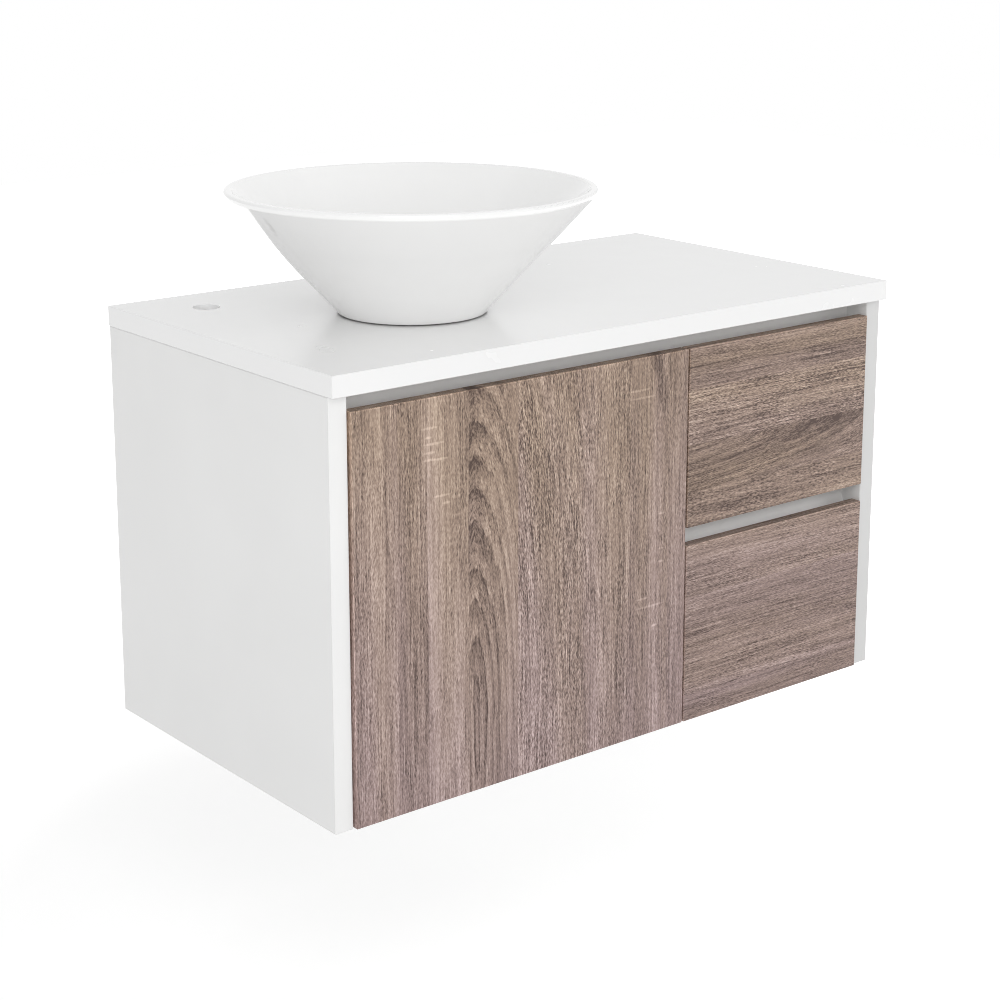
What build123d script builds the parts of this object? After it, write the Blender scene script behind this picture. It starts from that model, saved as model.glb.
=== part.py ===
"""Wall-hung vanity with a conical vessel basin: one door, two drawers, waste and bottle trap.

Millimetres. X runs to the right as seen from the front, Y from the front towards the wall,
Z up. The origin is the middle of the underside, under the middle of the benchtop.
"""

import os
from math import cos, radians, sin

from build123d import *

# Benchtop and carcass
bench_width = 900.0
bench_depth = 500.0
bench_thickness = 26.0
bench_side_overhang = 1.5
bench_front_overhang = 11.0
carcass_height = 516.0
side_thickness = 25.0
board = 16.0
arris = 0.8
upper_rail_height = 90.0
lower_rail_height = 70.0
front_rail_depth = 80.0
wall_hole_radius = 3.5
wall_hole_inset = 120.0

# Fronts and finger gaps
front_thickness = 16.0
front_gap = 2.5
front_proud = 4.0
front_air = 1.5
door_width = 513.0
top_finger_gap = 20.0
middle_finger_gap = 24.0
lower_front_height = 238.0
bumper_radius = 3.5
bumper_thickness = 1.2
bumper_inset = 4.0
bumper_drop = 20.0

# Finger-pull profiles
profile_wall = 1.8
top_profile_setback = 40.0
top_profile_height = 56.0
top_profile_bend = 14.0
top_profile_lip = 6.0
middle_profile_setback = 38.5
middle_profile_height = 74.0
clip_width = 18.0
clip_height = 30.0
clip_depth = 14.0
clip_wall = 2.0
clip_air = 2.0

# Shelf
shelf_height = 190.0
shelf_setback = 60.0
shelf_back_gap = 40.0
shelf_side_gap = 1.0
shelf_pin_radius = 2.5
shelf_pin_length = 9.0
shelf_pin_seat = 8.0
shelf_pin_inset = 50.0
pin_clearance = 0.05

# Drawer boxes
drawer_board = 12.0
drawer_bottom_board = 5.0
drawer_bottom_recess = 8.0
drawer_back_drop = 6.0
drawer_length = 420.0
lower_box_bottom = 32.0
lower_box_height = 172.0
box_air = 5.0
box_top_air = 12.0
side_groove = 5.0

# Ball-bearing slides
slide_length = 400.0
slide_width = 12.7
slide_height = 45.0
slide_steel = 1.2
slide_centre_up = 60.0
drawer_travel = 400.0
ball_radius = 1.6
ball_clearance = 0.15
cage_wall = 0.8
cage_length = 130.0
balls_per_race = 3
slide_lip = 1.6
slide_hole_radius = 2.6
slide_sink_radius = 3.8
cabinet_holes = (35.0, 163.0, 291.0, 380.0)
middle_ports = (60.0, 188.0, 316.0)
port_radius = 5.5
drawer_holes = (25.0, 153.0, 281.0, 370.0)

# Single-pivot concealed hinges
hinge_inset = 85.0
cup_radius = 17.5
cup_depth = 12.0
cup_edge = 4.0
cup_wall = 1.2
cup_flange_width = 52.0
cup_flange_wall = 1.0
cup_flange_trim = 4.0
cup_flange_round = 6.0
cup_fit = 0.1
cup_screw_radius = 2.2
cup_screw_inset = 4.5
pin_from_edge = 17.0
pin_depth = 7.5
pin_radius = 1.5
eye_wall = 1.6
arm_wall = 3.0
arm_height = 12.0
arm_lead = 33.0
arm_reach = 22.0
arm_back = 14.5
arm_standoff = 9.0
arm_length = 40.0
arm_slot_width = 5.0
arm_slot_length = 9.0
arm_screw_inset = 12.0
arm_screw_pitch = 16.0
ear_wall = 2.5
ear_half_width = 4.0
ear_over_pin = 3.5
ear_side_air = 0.4
plate_length = 34.0
plate_height = 52.0
plate_wall = 3.0
plate_round = 8.0
plate_offset = 4.0
plate_hole_radius = 2.5
plate_hole_inset = 9.0
edge_relief = 33.0
edge_relief_depth = 11.0
running_clearance = 0.05

# Basin
basin_x = -170.0
basin_y = -18.0
basin_radius = 230.0
basin_height = 157.0
basin_foot_radius = 92.0
basin_foot_round = 8.0
basin_wall = 11.0
basin_floor = 20.0
basin_floor_fall = 3.0
basin_recess = 7.0
basin_lip = 7.0
basin_foot_land = 16.0
basin_floor_round = 24.0
lip_round = 3.0

# Tap hole
tap_x = -357.5
tap_y = 164.0
tap_radius = 17.5

# Waste and plug
waste_tube_radius = 20.9
waste_bore_radius = 17.5
waste_flange_radius = 33.0
waste_flange_thickness = 3.0
waste_hole_radius = 22.5
waste_length = 95.0
seal_thickness = 2.0
waste_nut_radius = 29.0
waste_nut_height = 12.0
plug_radius = 30.5
plug_lift = 8.0
stem_radius = 4.0
stem_clearance = 0.05
cartridge_radius = 8.0
cartridge_length = 30.0
spider_thickness = 4.0

# Bottle trap
pipe_radius = 16.0
pipe_wall = 1.6
trap_radius = 28.0
trap_wall = 2.5
trap_body_height = 62.0
trap_cup_height = 58.0
trap_nut_radius = 26.0
trap_nut_height = 22.0
trap_drop = 40.0
outlet_down = 30.0
outlet_nut_length = 20.0
outlet_nut_shoulder = 6.0
stub_length = 20.0
pipe_entry = 4.0
flange_radius = 32.0
flange_thickness = 8.0

# Places that follow from the sizes
side_outer = bench_width / 2 - bench_side_overhang
side_inner = side_outer - side_thickness
bench_front = -bench_depth / 2
wall_y = bench_depth / 2
carcass_front = bench_front + bench_front_overhang
front_face = carcass_front - front_proud
front_back = front_face + front_thickness
inner_front = front_back + front_air
fronts_top = carcass_height - top_finger_gap
gap_line = -side_inner + front_gap * 1.5 + door_width
divider_left = gap_line - board / 2
divider_right = gap_line + board / 2
profile_face = front_face + top_profile_setback
profile_back = profile_face + profile_wall
bow_face = front_face + middle_profile_setback
door_left = -side_inner + front_gap
door_right = door_left + door_width
hinge_x = door_left + pin_from_edge
hinge_y = front_back - pin_depth
hinge_heights = (hinge_inset, fronts_top - hinge_inset)
pin_length = arm_height + 2 * (ear_side_air + ear_wall)
rail_face = wall_y - board
middle_gap_z = lower_front_height + middle_finger_gap / 2
upper_front_bottom = lower_front_height + middle_finger_gap
upper_box_bottom = middle_gap_z + middle_profile_height / 2 + box_air
upper_box_height = carcass_height - top_profile_height - box_top_air - upper_box_bottom
drawer_left = divider_right + slide_width
drawer_right = side_inner - slide_width
bench_top = carcass_height + bench_thickness


def slab(x, y, z, ease=0.0):
    """Box between the two ends given for each axis, with all its arrises broken by ease."""
    size = [abs(end[1] - end[0]) for end in (x, y, z)]
    solid = Pos(min(x), min(y), min(z)) * Box(*size, align=(Align.MIN,) * 3)
    return chamfer(solid.edges(), ease) if ease else solid


def drill(x, y, z, radius, length, axis="Z"):
    """Cylinder centred at a point, along an axis, to cut a hole or to make a pin."""
    turn = {"X": Rot(0, 90, 0), "Y": Rot(90, 0, 0), "Z": Rot(0, 0, 0)}[axis]
    return Pos(x, y, z) * turn * Cylinder(radius, length)


def ring(outer, inner, height, z):
    """Plain ring standing on z, about the Z axis."""
    return Pos(0, 0, z) * extrude(Circle(outer) - Circle(inner), height)


def along_x(profile, start, end):
    """Extrudes a profile drawn in (Y, Z) from one X to another."""
    face = Plane.YZ.offset(start) * profile
    return extrude(face, end - start, dir=(1, 0, 0))


def along_y(profile, start, end):
    """Extrudes a profile drawn in (X, Z) from one Y to another."""
    face = Plane((0, start, 0), x_dir=(1, 0, 0), z_dir=(0, -1, 0)) * profile
    return extrude(face, end - start, dir=(0, 1, 0))


def strip(path, wall):
    """Sheet section of one wall thickness on the left of an open path."""
    return make_face(offset(path, wall, side=Side.LEFT).edges())


def turned(*corners):
    """Revolves an outline of (r, z, rounding) corners about the Z axis."""
    points = [(r, z) for r, z, _ in corners]
    roundings = [rounding for _, _, rounding in corners]
    outline = FilletPolyline(*points, radius=roundings, close=True)
    return revolve(Plane.XZ * make_face(outline), Axis.Z)


def write(name, *pieces):
    """Writes one node, which may be a group of separate solids."""
    solids = [solid for piece in pieces for solid in piece.solids()]
    shape = solids[0] if len(solids) == 1 else Compound(children=solids)
    export_step(shape, f"parts/{name}.step")


# ---------------------------------------------------------------- carcass


def side_panel(hand):
    outer, inner = hand * side_outer, hand * side_inner
    panel = slab((outer, inner), (carcass_front, wall_y), (0, carcass_height), arris)
    return panel - shelf_pin_holes() if hand < 0 else panel


def edge_sweep(z):
    """Room beside the left panel that the hinged edge of the door swings through."""
    x = (-side_inner, -side_inner + edge_relief)
    return slab(x, (inner_front - board, inner_front + edge_relief_depth), z)


def bottom_panel():
    panel = slab((-side_inner, side_inner), (inner_front, wall_y), (0, board))
    return panel - edge_sweep((0, board))


def divider_panel():
    panel = slab((divider_left, divider_right), (inner_front, rail_face), (board, carcass_height))
    rail_notch = slab(
        (divider_left, divider_right),
        (inner_front, profile_back + front_rail_depth),
        (carcass_height - board, carcass_height),
    )
    profile_notch = slab(
        (divider_left, divider_right),
        (inner_front, profile_back),
        (carcass_height - top_profile_height - clip_air, carcass_height),
    )
    return panel - rail_notch - profile_notch - shelf_pin_holes()


def front_top_rail():
    depth = (profile_back, profile_back + front_rail_depth)
    return slab((-side_inner, side_inner), depth, (carcass_height - board, carcass_height))


def wall_holes(z):
    xs = (-side_inner + wall_hole_inset, side_inner - wall_hole_inset)
    return [drill(x, wall_y - board / 2, z, wall_hole_radius, board * 2, "Y") for x in xs]


def upper_back_rail():
    height = (carcass_height - upper_rail_height, carcass_height)
    rail = slab((-side_inner, side_inner), (rail_face, wall_y), height)
    return rail - wall_holes(carcass_height - upper_rail_height / 2)


def lower_back_rail():
    height = (board, board + lower_rail_height)
    rail = slab((-side_inner, side_inner), (rail_face, wall_y), height)
    return rail - wall_holes(board + lower_rail_height / 2)


def drawer_back_panel():
    height = (board + lower_rail_height, carcass_height - upper_rail_height)
    return slab((divider_left, side_inner), (rail_face, wall_y), height)


def benchtop():
    x = (-bench_width / 2, bench_width / 2)
    bench = slab(x, (bench_front, wall_y), (carcass_height, bench_top), arris)
    bench -= drill(basin_x, basin_y, bench_top, waste_hole_radius, bench_thickness * 3)
    return bench - drill(tap_x, tap_y, bench_top, tap_radius, bench_thickness * 3)


# ---------------------------------------------------------------- finger-pull profiles


def top_finger_profile():
    """J section: upright web under the bench, bottom leg curving forward behind the fronts."""
    foot = carcass_height - top_profile_height + profile_wall
    path = FilletPolyline(
        (profile_face, carcass_height),
        (profile_face, foot),
        (inner_front + profile_wall, foot),
        (inner_front + profile_wall, foot + top_profile_lip),
        radius=[top_profile_bend, 1.0],
    )
    profile = along_x(strip(path, profile_wall), -side_inner, side_inner)
    return profile - edge_sweep((foot - profile_wall, foot + top_profile_lip))


def middle_finger_profile():
    """C section: one shallow bow that hollows towards the wall between the drawer fronts."""
    half = middle_profile_height / 2
    path = ThreePointArc(
        (inner_front, middle_gap_z + half),
        (bow_face, middle_gap_z),
        (inner_front, middle_gap_z - half),
    )
    return along_x(strip(path, profile_wall), divider_right, side_inner)


def profile_clip(face_x, hand, back_y, z):
    """Angle clip that screws to a board and carries the end of a profile."""
    wall_x, end_x = face_x + hand * clip_wall, face_x + hand * clip_width
    height = (z, z + clip_height)
    plate = slab((face_x, wall_x), (back_y, back_y + clip_depth), height)
    foot = slab((face_x, end_x), (back_y, back_y + clip_wall), height)
    rib_z = z + (clip_height - clip_wall) / 2
    outline = Plane.XY.offset(rib_z) * Polyline(
        (face_x, back_y),
        (end_x, back_y),
        (end_x, back_y + clip_wall),
        (wall_x, back_y + clip_depth),
        (face_x, back_y + clip_depth),
        close=True,
    )
    return plate + foot + extrude(make_face(outline), clip_wall, dir=(0, 0, 1))


def profile_clips():
    top_z = carcass_height - board - clip_height - clip_air
    middle_z = middle_gap_z - clip_height / 2
    ends = ((-side_inner, 1), (divider_left, -1), (divider_right, 1), (side_inner, -1))
    top = [profile_clip(x, hand, profile_back, top_z) for x, hand in ends]
    middle_back = bow_face + profile_wall
    middle = [profile_clip(x, hand, middle_back, middle_z) for x, hand in ends[2:]]
    return top + middle


# ---------------------------------------------------------------- shelf


def shelf_pin_places():
    front = inner_front + shelf_setback + shelf_pin_inset
    back = rail_face - shelf_back_gap - shelf_pin_inset
    return [(x, hand, y) for x, hand in ((-side_inner, 1), (divider_left, -1)) for y in (front, back)]


def shelf_pin_holes():
    z = shelf_height - shelf_pin_radius
    radius = shelf_pin_radius + pin_clearance
    return [
        drill(x - hand * shelf_pin_seat / 2, y, z, radius, shelf_pin_seat, "X")
        for x, hand, y in shelf_pin_places()
    ]


def shelf_pins():
    z = shelf_height - shelf_pin_radius
    middle = (shelf_pin_length - shelf_pin_seat) / 2
    return [
        drill(x + hand * middle, y, z, shelf_pin_radius, shelf_pin_length + shelf_pin_seat, "X")
        for x, hand, y in shelf_pin_places()
    ]


def shelf():
    x = (-side_inner + shelf_side_gap, divider_left - shelf_side_gap)
    y = (inner_front + shelf_setback, rail_face - shelf_back_gap)
    return slab(x, y, (shelf_height, shelf_height + board), arris)


# ---------------------------------------------------------------- door and its hinges


def door_front():
    door = slab((door_left, door_right), (front_face, front_back), (0, fronts_top), arris)
    cup_x = door_left + cup_edge + cup_radius
    for z in hinge_heights:
        door -= drill(cup_x, front_back, z, cup_radius + cup_fit, 2 * (cup_depth + cup_fit), "Y")
    return door


def hinge_cup(z):
    """Steel cup let into the door, with a flange on the door's back and two ears for the pin."""
    x = door_left + cup_edge + cup_radius
    cup = drill(x, front_back - cup_depth / 2, z, cup_radius, cup_depth, "Y")
    mouth = front_back + cup_flange_wall
    flange = slab(
        (x - cup_radius, x + cup_radius - cup_flange_trim),
        (front_back, mouth),
        (z - cup_flange_width / 2, z + cup_flange_width / 2),
    )
    flange = fillet(flange.edges().filter_by(Axis.Y), cup_flange_round)
    hollow_depth = cup_depth - cup_wall + cup_flange_wall
    hollow = drill(x, mouth - hollow_depth / 2, z, cup_radius - cup_wall, hollow_depth, "Y")
    ears = []
    for side in (-1, 1):
        inner = z + side * (arm_height / 2 + ear_side_air)
        outer = inner + side * ear_wall
        floor = front_back - cup_depth + cup_wall
        ear_x = (hinge_x - ear_half_width, hinge_x + ear_half_width)
        ears.append(slab(ear_x, (floor, hinge_y + ear_over_pin), (inner, outer)))
    shell = cup + flange - hollow + ears
    for side in (-1, 1):
        screw_z = z + side * (cup_flange_width / 2 - cup_screw_inset)
        shell -= drill(x, mouth, screw_z, cup_screw_radius, cup_flange_wall * 4, "Y")
    return shell - drill(hinge_x, hinge_y, z, pin_radius, 2 * pin_length)


def hinge_pin(z):
    return drill(hinge_x, hinge_y, z, pin_radius, pin_length)


def hinge_arm(z):
    """Gooseneck arm: an eye on the pin, a crook that the door's edge swings round, and a tail."""
    lead = radians(arm_lead)
    crook_x = hinge_x + arm_reach * cos(lead)
    crook_y = hinge_y + arm_reach * sin(lead)
    tail_x = -side_inner + arm_standoff
    path = FilletPolyline(
        (hinge_x, hinge_y),
        (crook_x, crook_y),
        (crook_x, crook_y + arm_back),
        (tail_x, crook_y + arm_back),
        (tail_x, crook_y + arm_back + arm_length),
        radius=[4.0, 6.0, 4.0],
    )
    plane = Plane.XY.offset(z - arm_height / 2)
    band = extrude(plane * make_face(offset(path, arm_wall / 2).edges()), arm_height)
    eye = drill(hinge_x, hinge_y, z, pin_radius + running_clearance + eye_wall, arm_height)
    slot = SlotOverall(arm_slot_length, arm_slot_width)
    end = crook_y + arm_back + arm_length - arm_screw_inset
    for y in (end, end - arm_screw_pitch):
        place = Plane((tail_x - arm_wall, y, z), x_dir=(0, 1, 0), z_dir=(1, 0, 0))
        band -= extrude(place * slot, arm_wall * 2)
    return band + eye - drill(hinge_x, hinge_y, z, pin_radius + running_clearance, arm_height * 2)


def hinge_plate(z):
    """Winged plate on the side panel, with a raised saddle that the arm's tail screws to."""
    lead = radians(arm_lead)
    tail_start = hinge_y + arm_reach * sin(lead) + arm_back
    y = (tail_start + plate_offset, tail_start + plate_offset + plate_length)
    face = -side_inner
    wings = slab((face, face + plate_wall), y, (z - plate_height / 2, z + plate_height / 2))
    wings = fillet(wings.edges().filter_by(Axis.X), plate_round)
    top = face + arm_standoff - arm_wall / 2
    saddle = slab((face, top), y, (z - arm_height / 2, z + arm_height / 2))
    plate = wings + saddle
    for side in (-1, 1):
        hole_z = z + side * (plate_height / 2 - plate_hole_inset)
        plate -= drill(face, sum(y) / 2, hole_z, plate_hole_radius, plate_wall * 4, "X")
    return plate


def door_bumpers():
    x = divider_left + bumper_inset
    y = front_back + bumper_thickness / 2
    heights = (board / 2 + bumper_inset, fronts_top - top_profile_height - bumper_drop)
    return [drill(x, y, z, bumper_radius, bumper_thickness, "Y") for z in heights]


# ---------------------------------------------------------------- drawers


def drawer_front(bottom, top):
    x = (gap_line + front_gap / 2, side_inner - front_gap)
    return slab(x, (front_face, front_back), (bottom, top), arris)


def drawer_box(bottom, height):
    """Left side, right side, back and bottom: the bottom slides in grooves under the back."""
    y = (front_back, front_back + drawer_length)
    z = (bottom, bottom + height)
    panel_z = (bottom + drawer_bottom_recess, bottom + drawer_bottom_recess + drawer_bottom_board)
    inner_left = drawer_left + drawer_board
    inner_right = drawer_right - drawer_board
    panel_x = (inner_left - side_groove, inner_right + side_groove)
    panel = slab(panel_x, y, panel_z)
    left = slab((drawer_left, inner_left), y, z, arris) - panel
    right = slab((inner_right, drawer_right), y, z, arris) - panel
    back_y = (y[1] - drawer_board, y[1])
    back = slab((inner_left, inner_right), back_y, (panel_z[1], z[1] - drawer_back_drop))
    return left, right, back, panel


# Each slide is drawn at distances from its board: 0 on the board, slide_width on the drawer.
outer_half = slide_height / 2
race_pitch = 2 * (ball_radius + ball_clearance)
outer_ball_z = outer_half - slide_steel - race_pitch / 2
middle_half = outer_half - slide_steel - race_pitch
inner_ball_z = middle_half - slide_steel - race_pitch / 2
drawer_half = middle_half - slide_steel - race_pitch
middle_web = 3.2
outer_ball_at = 6.3
inner_ball_at = 8.0
slide_front = inner_front + 2
cage_middle = slide_front + slide_length / 2 - drawer_travel / 8


def slide_sides():
    """The two boards of the drawer bay, each with the direction that leads into the bay."""
    return ((divider_right, 1), (side_inner, -1))


def c_member(web, reach, half, lip, z, start=slide_front, length=slide_length, wall=slide_steel):
    """Pair of C-section members, web and flange tips at their distances from the boards."""
    members = []
    for face, hand in slide_sides():
        points = [(reach, half - lip), (reach, half), (web, half)]
        points += [(at, -height) for at, height in reversed(points)]
        path = Polyline(*[(face + hand * at, z + height) for at, height in points])
        inward = Side.LEFT if (reach > web) == (hand > 0) else Side.RIGHT
        section = make_face(offset(path, wall, side=inward).edges())
        members.append(along_y(section, start, start + length))
    return members


def sunk_hole(x, y, z, hand):
    """Screw hole through the web at x, countersunk on the side that hand points to."""
    slope = (slide_sink_radius - slide_hole_radius) / slide_steel
    middle = (slide_sink_radius + slide_hole_radius) / 2
    spread = slope * slide_steel * 0.75
    return Pos(x, y, z) * Rot(0, 90 * hand, 0) * Cone(middle - spread, middle + spread, slide_steel * 1.5)


def cabinet_members(z):
    members = c_member(0, 9.5, outer_half, slide_lip, z)
    middle = slide_steel / 2
    return [
        member - [sunk_hole(face + hand * middle, slide_front + y, z, hand) for y in cabinet_holes]
        for (face, hand), member in zip(slide_sides(), members)
    ]


def middle_members(z):
    """Middle pair, with ports that a driver reaches the cabinet members' screws through."""
    members = c_member(middle_web, 10.4, middle_half, slide_steel + 0.1, z)
    return [
        member - [drill(face + hand * middle_web, slide_front + y, z, port_radius, 6, "X") for y in middle_ports]
        for (face, hand), member in zip(slide_sides(), members)
    ]


def drawer_members(z):
    members = c_member(slide_width, 6.6, drawer_half, slide_steel + 0.1, z)
    middle = slide_width - slide_steel / 2
    return [
        member - [sunk_hole(face + hand * middle, slide_front + y, z, -hand) for y in drawer_holes]
        for (face, hand), member in zip(slide_sides(), members)
    ]


def ball_cage(web, reach, ball_at, ball_z, z):
    """Pair of ball cages: a bent strip with pockets, and its loose balls top and bottom."""
    start = cage_middle - cage_length / 2
    half = ball_z + cage_wall / 2
    strips = c_member(web, reach, half, cage_wall + 0.1, z, start, cage_length, cage_wall)
    balls = []
    for (face, hand), cage in zip(slide_sides(), strips):
        pockets = []
        for number in range(balls_per_race):
            y = start + cage_length * (number + 0.5) / balls_per_race
            for level in (z - ball_z, z + ball_z):
                place = Pos(face + hand * ball_at, y, level)
                balls.append(place * Sphere(ball_radius))
                pockets.append(place * Cylinder(ball_radius + running_clearance, cage_wall * 3))
        balls.append(cage - pockets)
    return balls


def outer_cages(z):
    return ball_cage(slide_steel + 0.6, 8.4, outer_ball_at, outer_ball_z, z)


def inner_cages(z):
    return ball_cage(middle_web + slide_steel + 0.6, 10.0, inner_ball_at, inner_ball_z, z)


# ---------------------------------------------------------------- basin, waste and plug

basin_place = Pos(basin_x, basin_y, bench_top)
basin_slope = (basin_radius - basin_foot_radius) / (basin_height - basin_lip)
skin = basin_wall * (1 + basin_slope**2) ** 0.5
seat_z = basin_floor - basin_floor_fall - waste_flange_thickness - 0.5
flange_z = seat_z + seal_thickness
flange_top = flange_z + waste_flange_thickness
tube_end = flange_top - waste_length
nut_top = -bench_thickness - seal_thickness
seal_hole = waste_tube_radius + 0.3


def basin_inside(z):
    """Inner radius of the bowl at a height, one wall inside the outer cone."""
    return basin_foot_radius + basin_slope * z - skin


def basin():
    land = basin_foot_radius - basin_foot_round - basin_foot_land
    floor_edge = waste_flange_radius + 1.5
    bowl = turned(
        (waste_hole_radius, basin_recess, 0),
        (land, basin_recess, 2),
        (land + 3, 0, 1.5),
        (basin_foot_radius, 0, basin_foot_round),
        (basin_radius, basin_height - basin_lip, 4),
        (basin_radius, basin_height, lip_round),
        (basin_inside(basin_height), basin_height, lip_round),
        (basin_inside(basin_floor), basin_floor, basin_floor_round),
        (floor_edge, basin_floor - basin_floor_fall, 1),
        (waste_flange_radius + 0.5, seat_z, 0.3),
        (waste_hole_radius, seat_z, 0),
    )
    return basin_place * bowl


def waste_seal():
    return basin_place * ring(waste_flange_radius - 1, seal_hole, seal_thickness, seat_z)


def waste_body():
    """Flanged tube with a three-armed spider that holds the plug's cartridge."""
    tube = turned(
        (waste_bore_radius, tube_end, 0),
        (waste_tube_radius, tube_end, 0.6),
        (waste_tube_radius, flange_z, 0),
        (waste_flange_radius, flange_z, 0.5),
        (waste_flange_radius, flange_z + 1.2, 0.5),
        (waste_flange_radius - 6, flange_top, 3),
        (waste_bore_radius, flange_top, 1),
    )
    spider_z = flange_top - cartridge_length / 2 - 8
    hub = ring(cartridge_radius + 2, cartridge_radius, spider_thickness, spider_z)
    arms = []
    for turn in (0, 120, 240):
        reach = (cartridge_radius + 1, waste_bore_radius + 1)
        arm = slab(reach, (-1.5, 1.5), (spider_z, spider_z + spider_thickness))
        arms.append(Rot(0, 0, turn) * arm)
    return basin_place * (tube + hub + arms)


def click_cartridge():
    """Barrel in the spider, blind at the foot, that the plug's stem clicks up and down in."""
    top = flange_top - 4
    stem = stem_radius + stem_clearance
    barrel = turned(
        (0, top - cartridge_length, 0),
        (cartridge_radius, top - cartridge_length, 1.5),
        (cartridge_radius, top, 1),
        (stem, top, 0.5),
        (stem, top - cartridge_length + 3, 0),
        (0, top - cartridge_length + 3, 0),
    )
    return basin_place * barrel


def plug():
    """Domed cap over the waste flange with a stem down into the cartridge."""
    under = flange_top + 0.3 + seal_thickness
    stem_end = flange_top - cartridge_length + plug_lift
    cap = turned(
        (0, stem_end, 0),
        (stem_radius, stem_end, 0.8),
        (stem_radius, under, 0),
        (plug_radius, under, 0.6),
        (plug_radius, under + 2.2, 1.4),
        (plug_radius * 0.6, under + 4.4, 30),
        (0, under + 4.8, 0),
    )
    return basin_place * cap


def plug_seal():
    return basin_place * ring(plug_radius - 4, plug_radius - 9, seal_thickness, flange_top + 0.3)


def waste_washer():
    return basin_place * ring(waste_nut_radius, seal_hole, seal_thickness, nut_top)


def waste_nut():
    """Hexagon nut with a round collar, drawn up under the bench."""
    bottom = nut_top - waste_nut_height
    hexagon = extrude(RegularPolygon(waste_nut_radius, 6), waste_nut_height - 3)
    collar = ring(waste_nut_radius, seal_hole, 3, nut_top - 3)
    nut = Pos(0, 0, bottom) * hexagon + collar
    return basin_place * (nut - drill(0, 0, bottom, seal_hole, waste_nut_height * 4))


# ---------------------------------------------------------------- bottle trap

coupling_bottom = tube_end - 8
inlet_bore = pipe_radius + 0.3
body_top = coupling_bottom - trap_drop
body_bottom = body_top - trap_body_height
outlet_z = body_top - outlet_down
neck_height = 16.0
neck_radius = 21.0
stub_end = trap_radius + stub_length
stub_radius = pipe_radius + 3.0


def trap_coupling_nut():
    """Nut on the waste's tail that pinches the inlet tube's collar against the tail."""
    nut = turned(
        (inlet_bore, coupling_bottom, 0),
        (trap_nut_radius, coupling_bottom, 2),
        (trap_nut_radius, coupling_bottom + trap_nut_height, 1),
        (seal_hole, coupling_bottom + trap_nut_height, 0),
        (seal_hole, coupling_bottom + 3, 0),
        (inlet_bore, coupling_bottom + 3, 0),
    )
    return basin_place * (nut - grip_flutes(trap_nut_radius, coupling_bottom, trap_nut_height))


def grip_flutes(radius, bottom, height, count=12, flute=2.2):
    """Round flutes cut into the rim of a nut or cup, for the hand."""
    flutes = []
    for number in range(count):
        turn = Rot(0, 0, 360 * number / count)
        flutes.append(turn * drill(radius + flute * 0.4, 0, bottom + height / 2, flute, height * 2))
    return flutes


def trap_seal():
    collar_top = coupling_bottom + 3 + 2
    return basin_place * ring(waste_tube_radius - 0.4, inlet_bore, tube_end - collar_top, collar_top)


def trap_inlet_tube():
    """Dip tube: a collar under the coupling nut, then down deep into the bottle."""
    collar = ring(waste_tube_radius - 0.4, pipe_radius - pipe_wall, 2, coupling_bottom + 3)
    bottom = body_bottom - trap_cup_height / 2
    tube = ring(pipe_radius, pipe_radius - pipe_wall, coupling_bottom + 3 - bottom, bottom)
    return basin_place * (collar + tube)


def trap_body():
    """Bottle with a neck for the inlet tube and a side stub that leads to the wall."""
    inside = trap_radius - trap_wall
    bottle = turned(
        (inlet_bore, body_top - trap_wall, 0),
        (inlet_bore, body_top + neck_height, 0),
        (neck_radius, body_top + neck_height, 1),
        (neck_radius, body_top, 2),
        (trap_radius, body_top, 6),
        (trap_radius, body_bottom, 0.6),
        (inside, body_bottom, 0),
        (inside, body_top - trap_wall, 4),
    )
    stub = drill(0, stub_end / 2, outlet_z, stub_radius, stub_end, "Y")
    bore = drill(0, stub_end, outlet_z, inlet_bore, stub_end * 2, "Y")
    core = drill(0, 0, outlet_z, inside, trap_body_height - 2 * trap_wall)
    return basin_place * (bottle + (stub - core) - bore)


def trap_neck_nut():
    bottom = body_top + 3
    nut = turned(
        (neck_radius + 0.2, bottom, 0),
        (trap_nut_radius, bottom, 1),
        (trap_nut_radius, bottom + trap_nut_height, 3),
        (inlet_bore, bottom + trap_nut_height, 0.5),
        (inlet_bore, body_top + neck_height + 2, 0),
        (neck_radius + 0.2, body_top + neck_height + 2, 0),
    )
    return basin_place * (nut - grip_flutes(trap_nut_radius, bottom, trap_nut_height))


def trap_neck_seal():
    return basin_place * ring(neck_radius - 0.5, inlet_bore, 2, body_top + neck_height)


def trap_cup():
    """Cleaning cup that screws on below the bottle, with flutes for the hand."""
    inside = trap_radius - trap_wall
    bottom = body_bottom - trap_cup_height
    cup = turned(
        (0, bottom, 0),
        (trap_radius + 1, bottom, 10),
        (trap_radius + 1, body_bottom, 1.5),
        (inside, body_bottom, 0),
        (inside, bottom + trap_wall, 8),
        (0, bottom + trap_wall, 0),
    )
    flutes = grip_flutes(trap_radius + 1, bottom + trap_cup_height - 12, 20)
    return basin_place * (cup - flutes)


def outlet_nut():
    """Nut on the stub's end, with a shoulder that closes on the pipe."""
    start = stub_end - outlet_nut_length + outlet_nut_shoulder
    blank = Cylinder(trap_nut_radius, outlet_nut_length)
    blank -= grip_flutes(trap_nut_radius, -outlet_nut_length / 2, outlet_nut_length)
    nut = Pos(0, start + outlet_nut_length / 2, outlet_z) * Rot(90, 0, 0) * blank
    nut -= drill(0, stub_end / 2, outlet_z, stub_radius + 0.2, stub_end, "Y")
    return basin_place * (nut - drill(0, stub_end, outlet_z, inlet_bore, stub_end, "Y"))


def outlet_pipe():
    """Pipe from the trap's stub to the wall."""
    start = trap_radius + pipe_entry
    end = wall_y - basin_y
    pipe = drill(0, (start + end) / 2, outlet_z, pipe_radius, end - start, "Y")
    bore = drill(0, (start + end) / 2, outlet_z, pipe_radius - pipe_wall, end, "Y")
    return basin_place * (pipe - bore)


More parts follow.
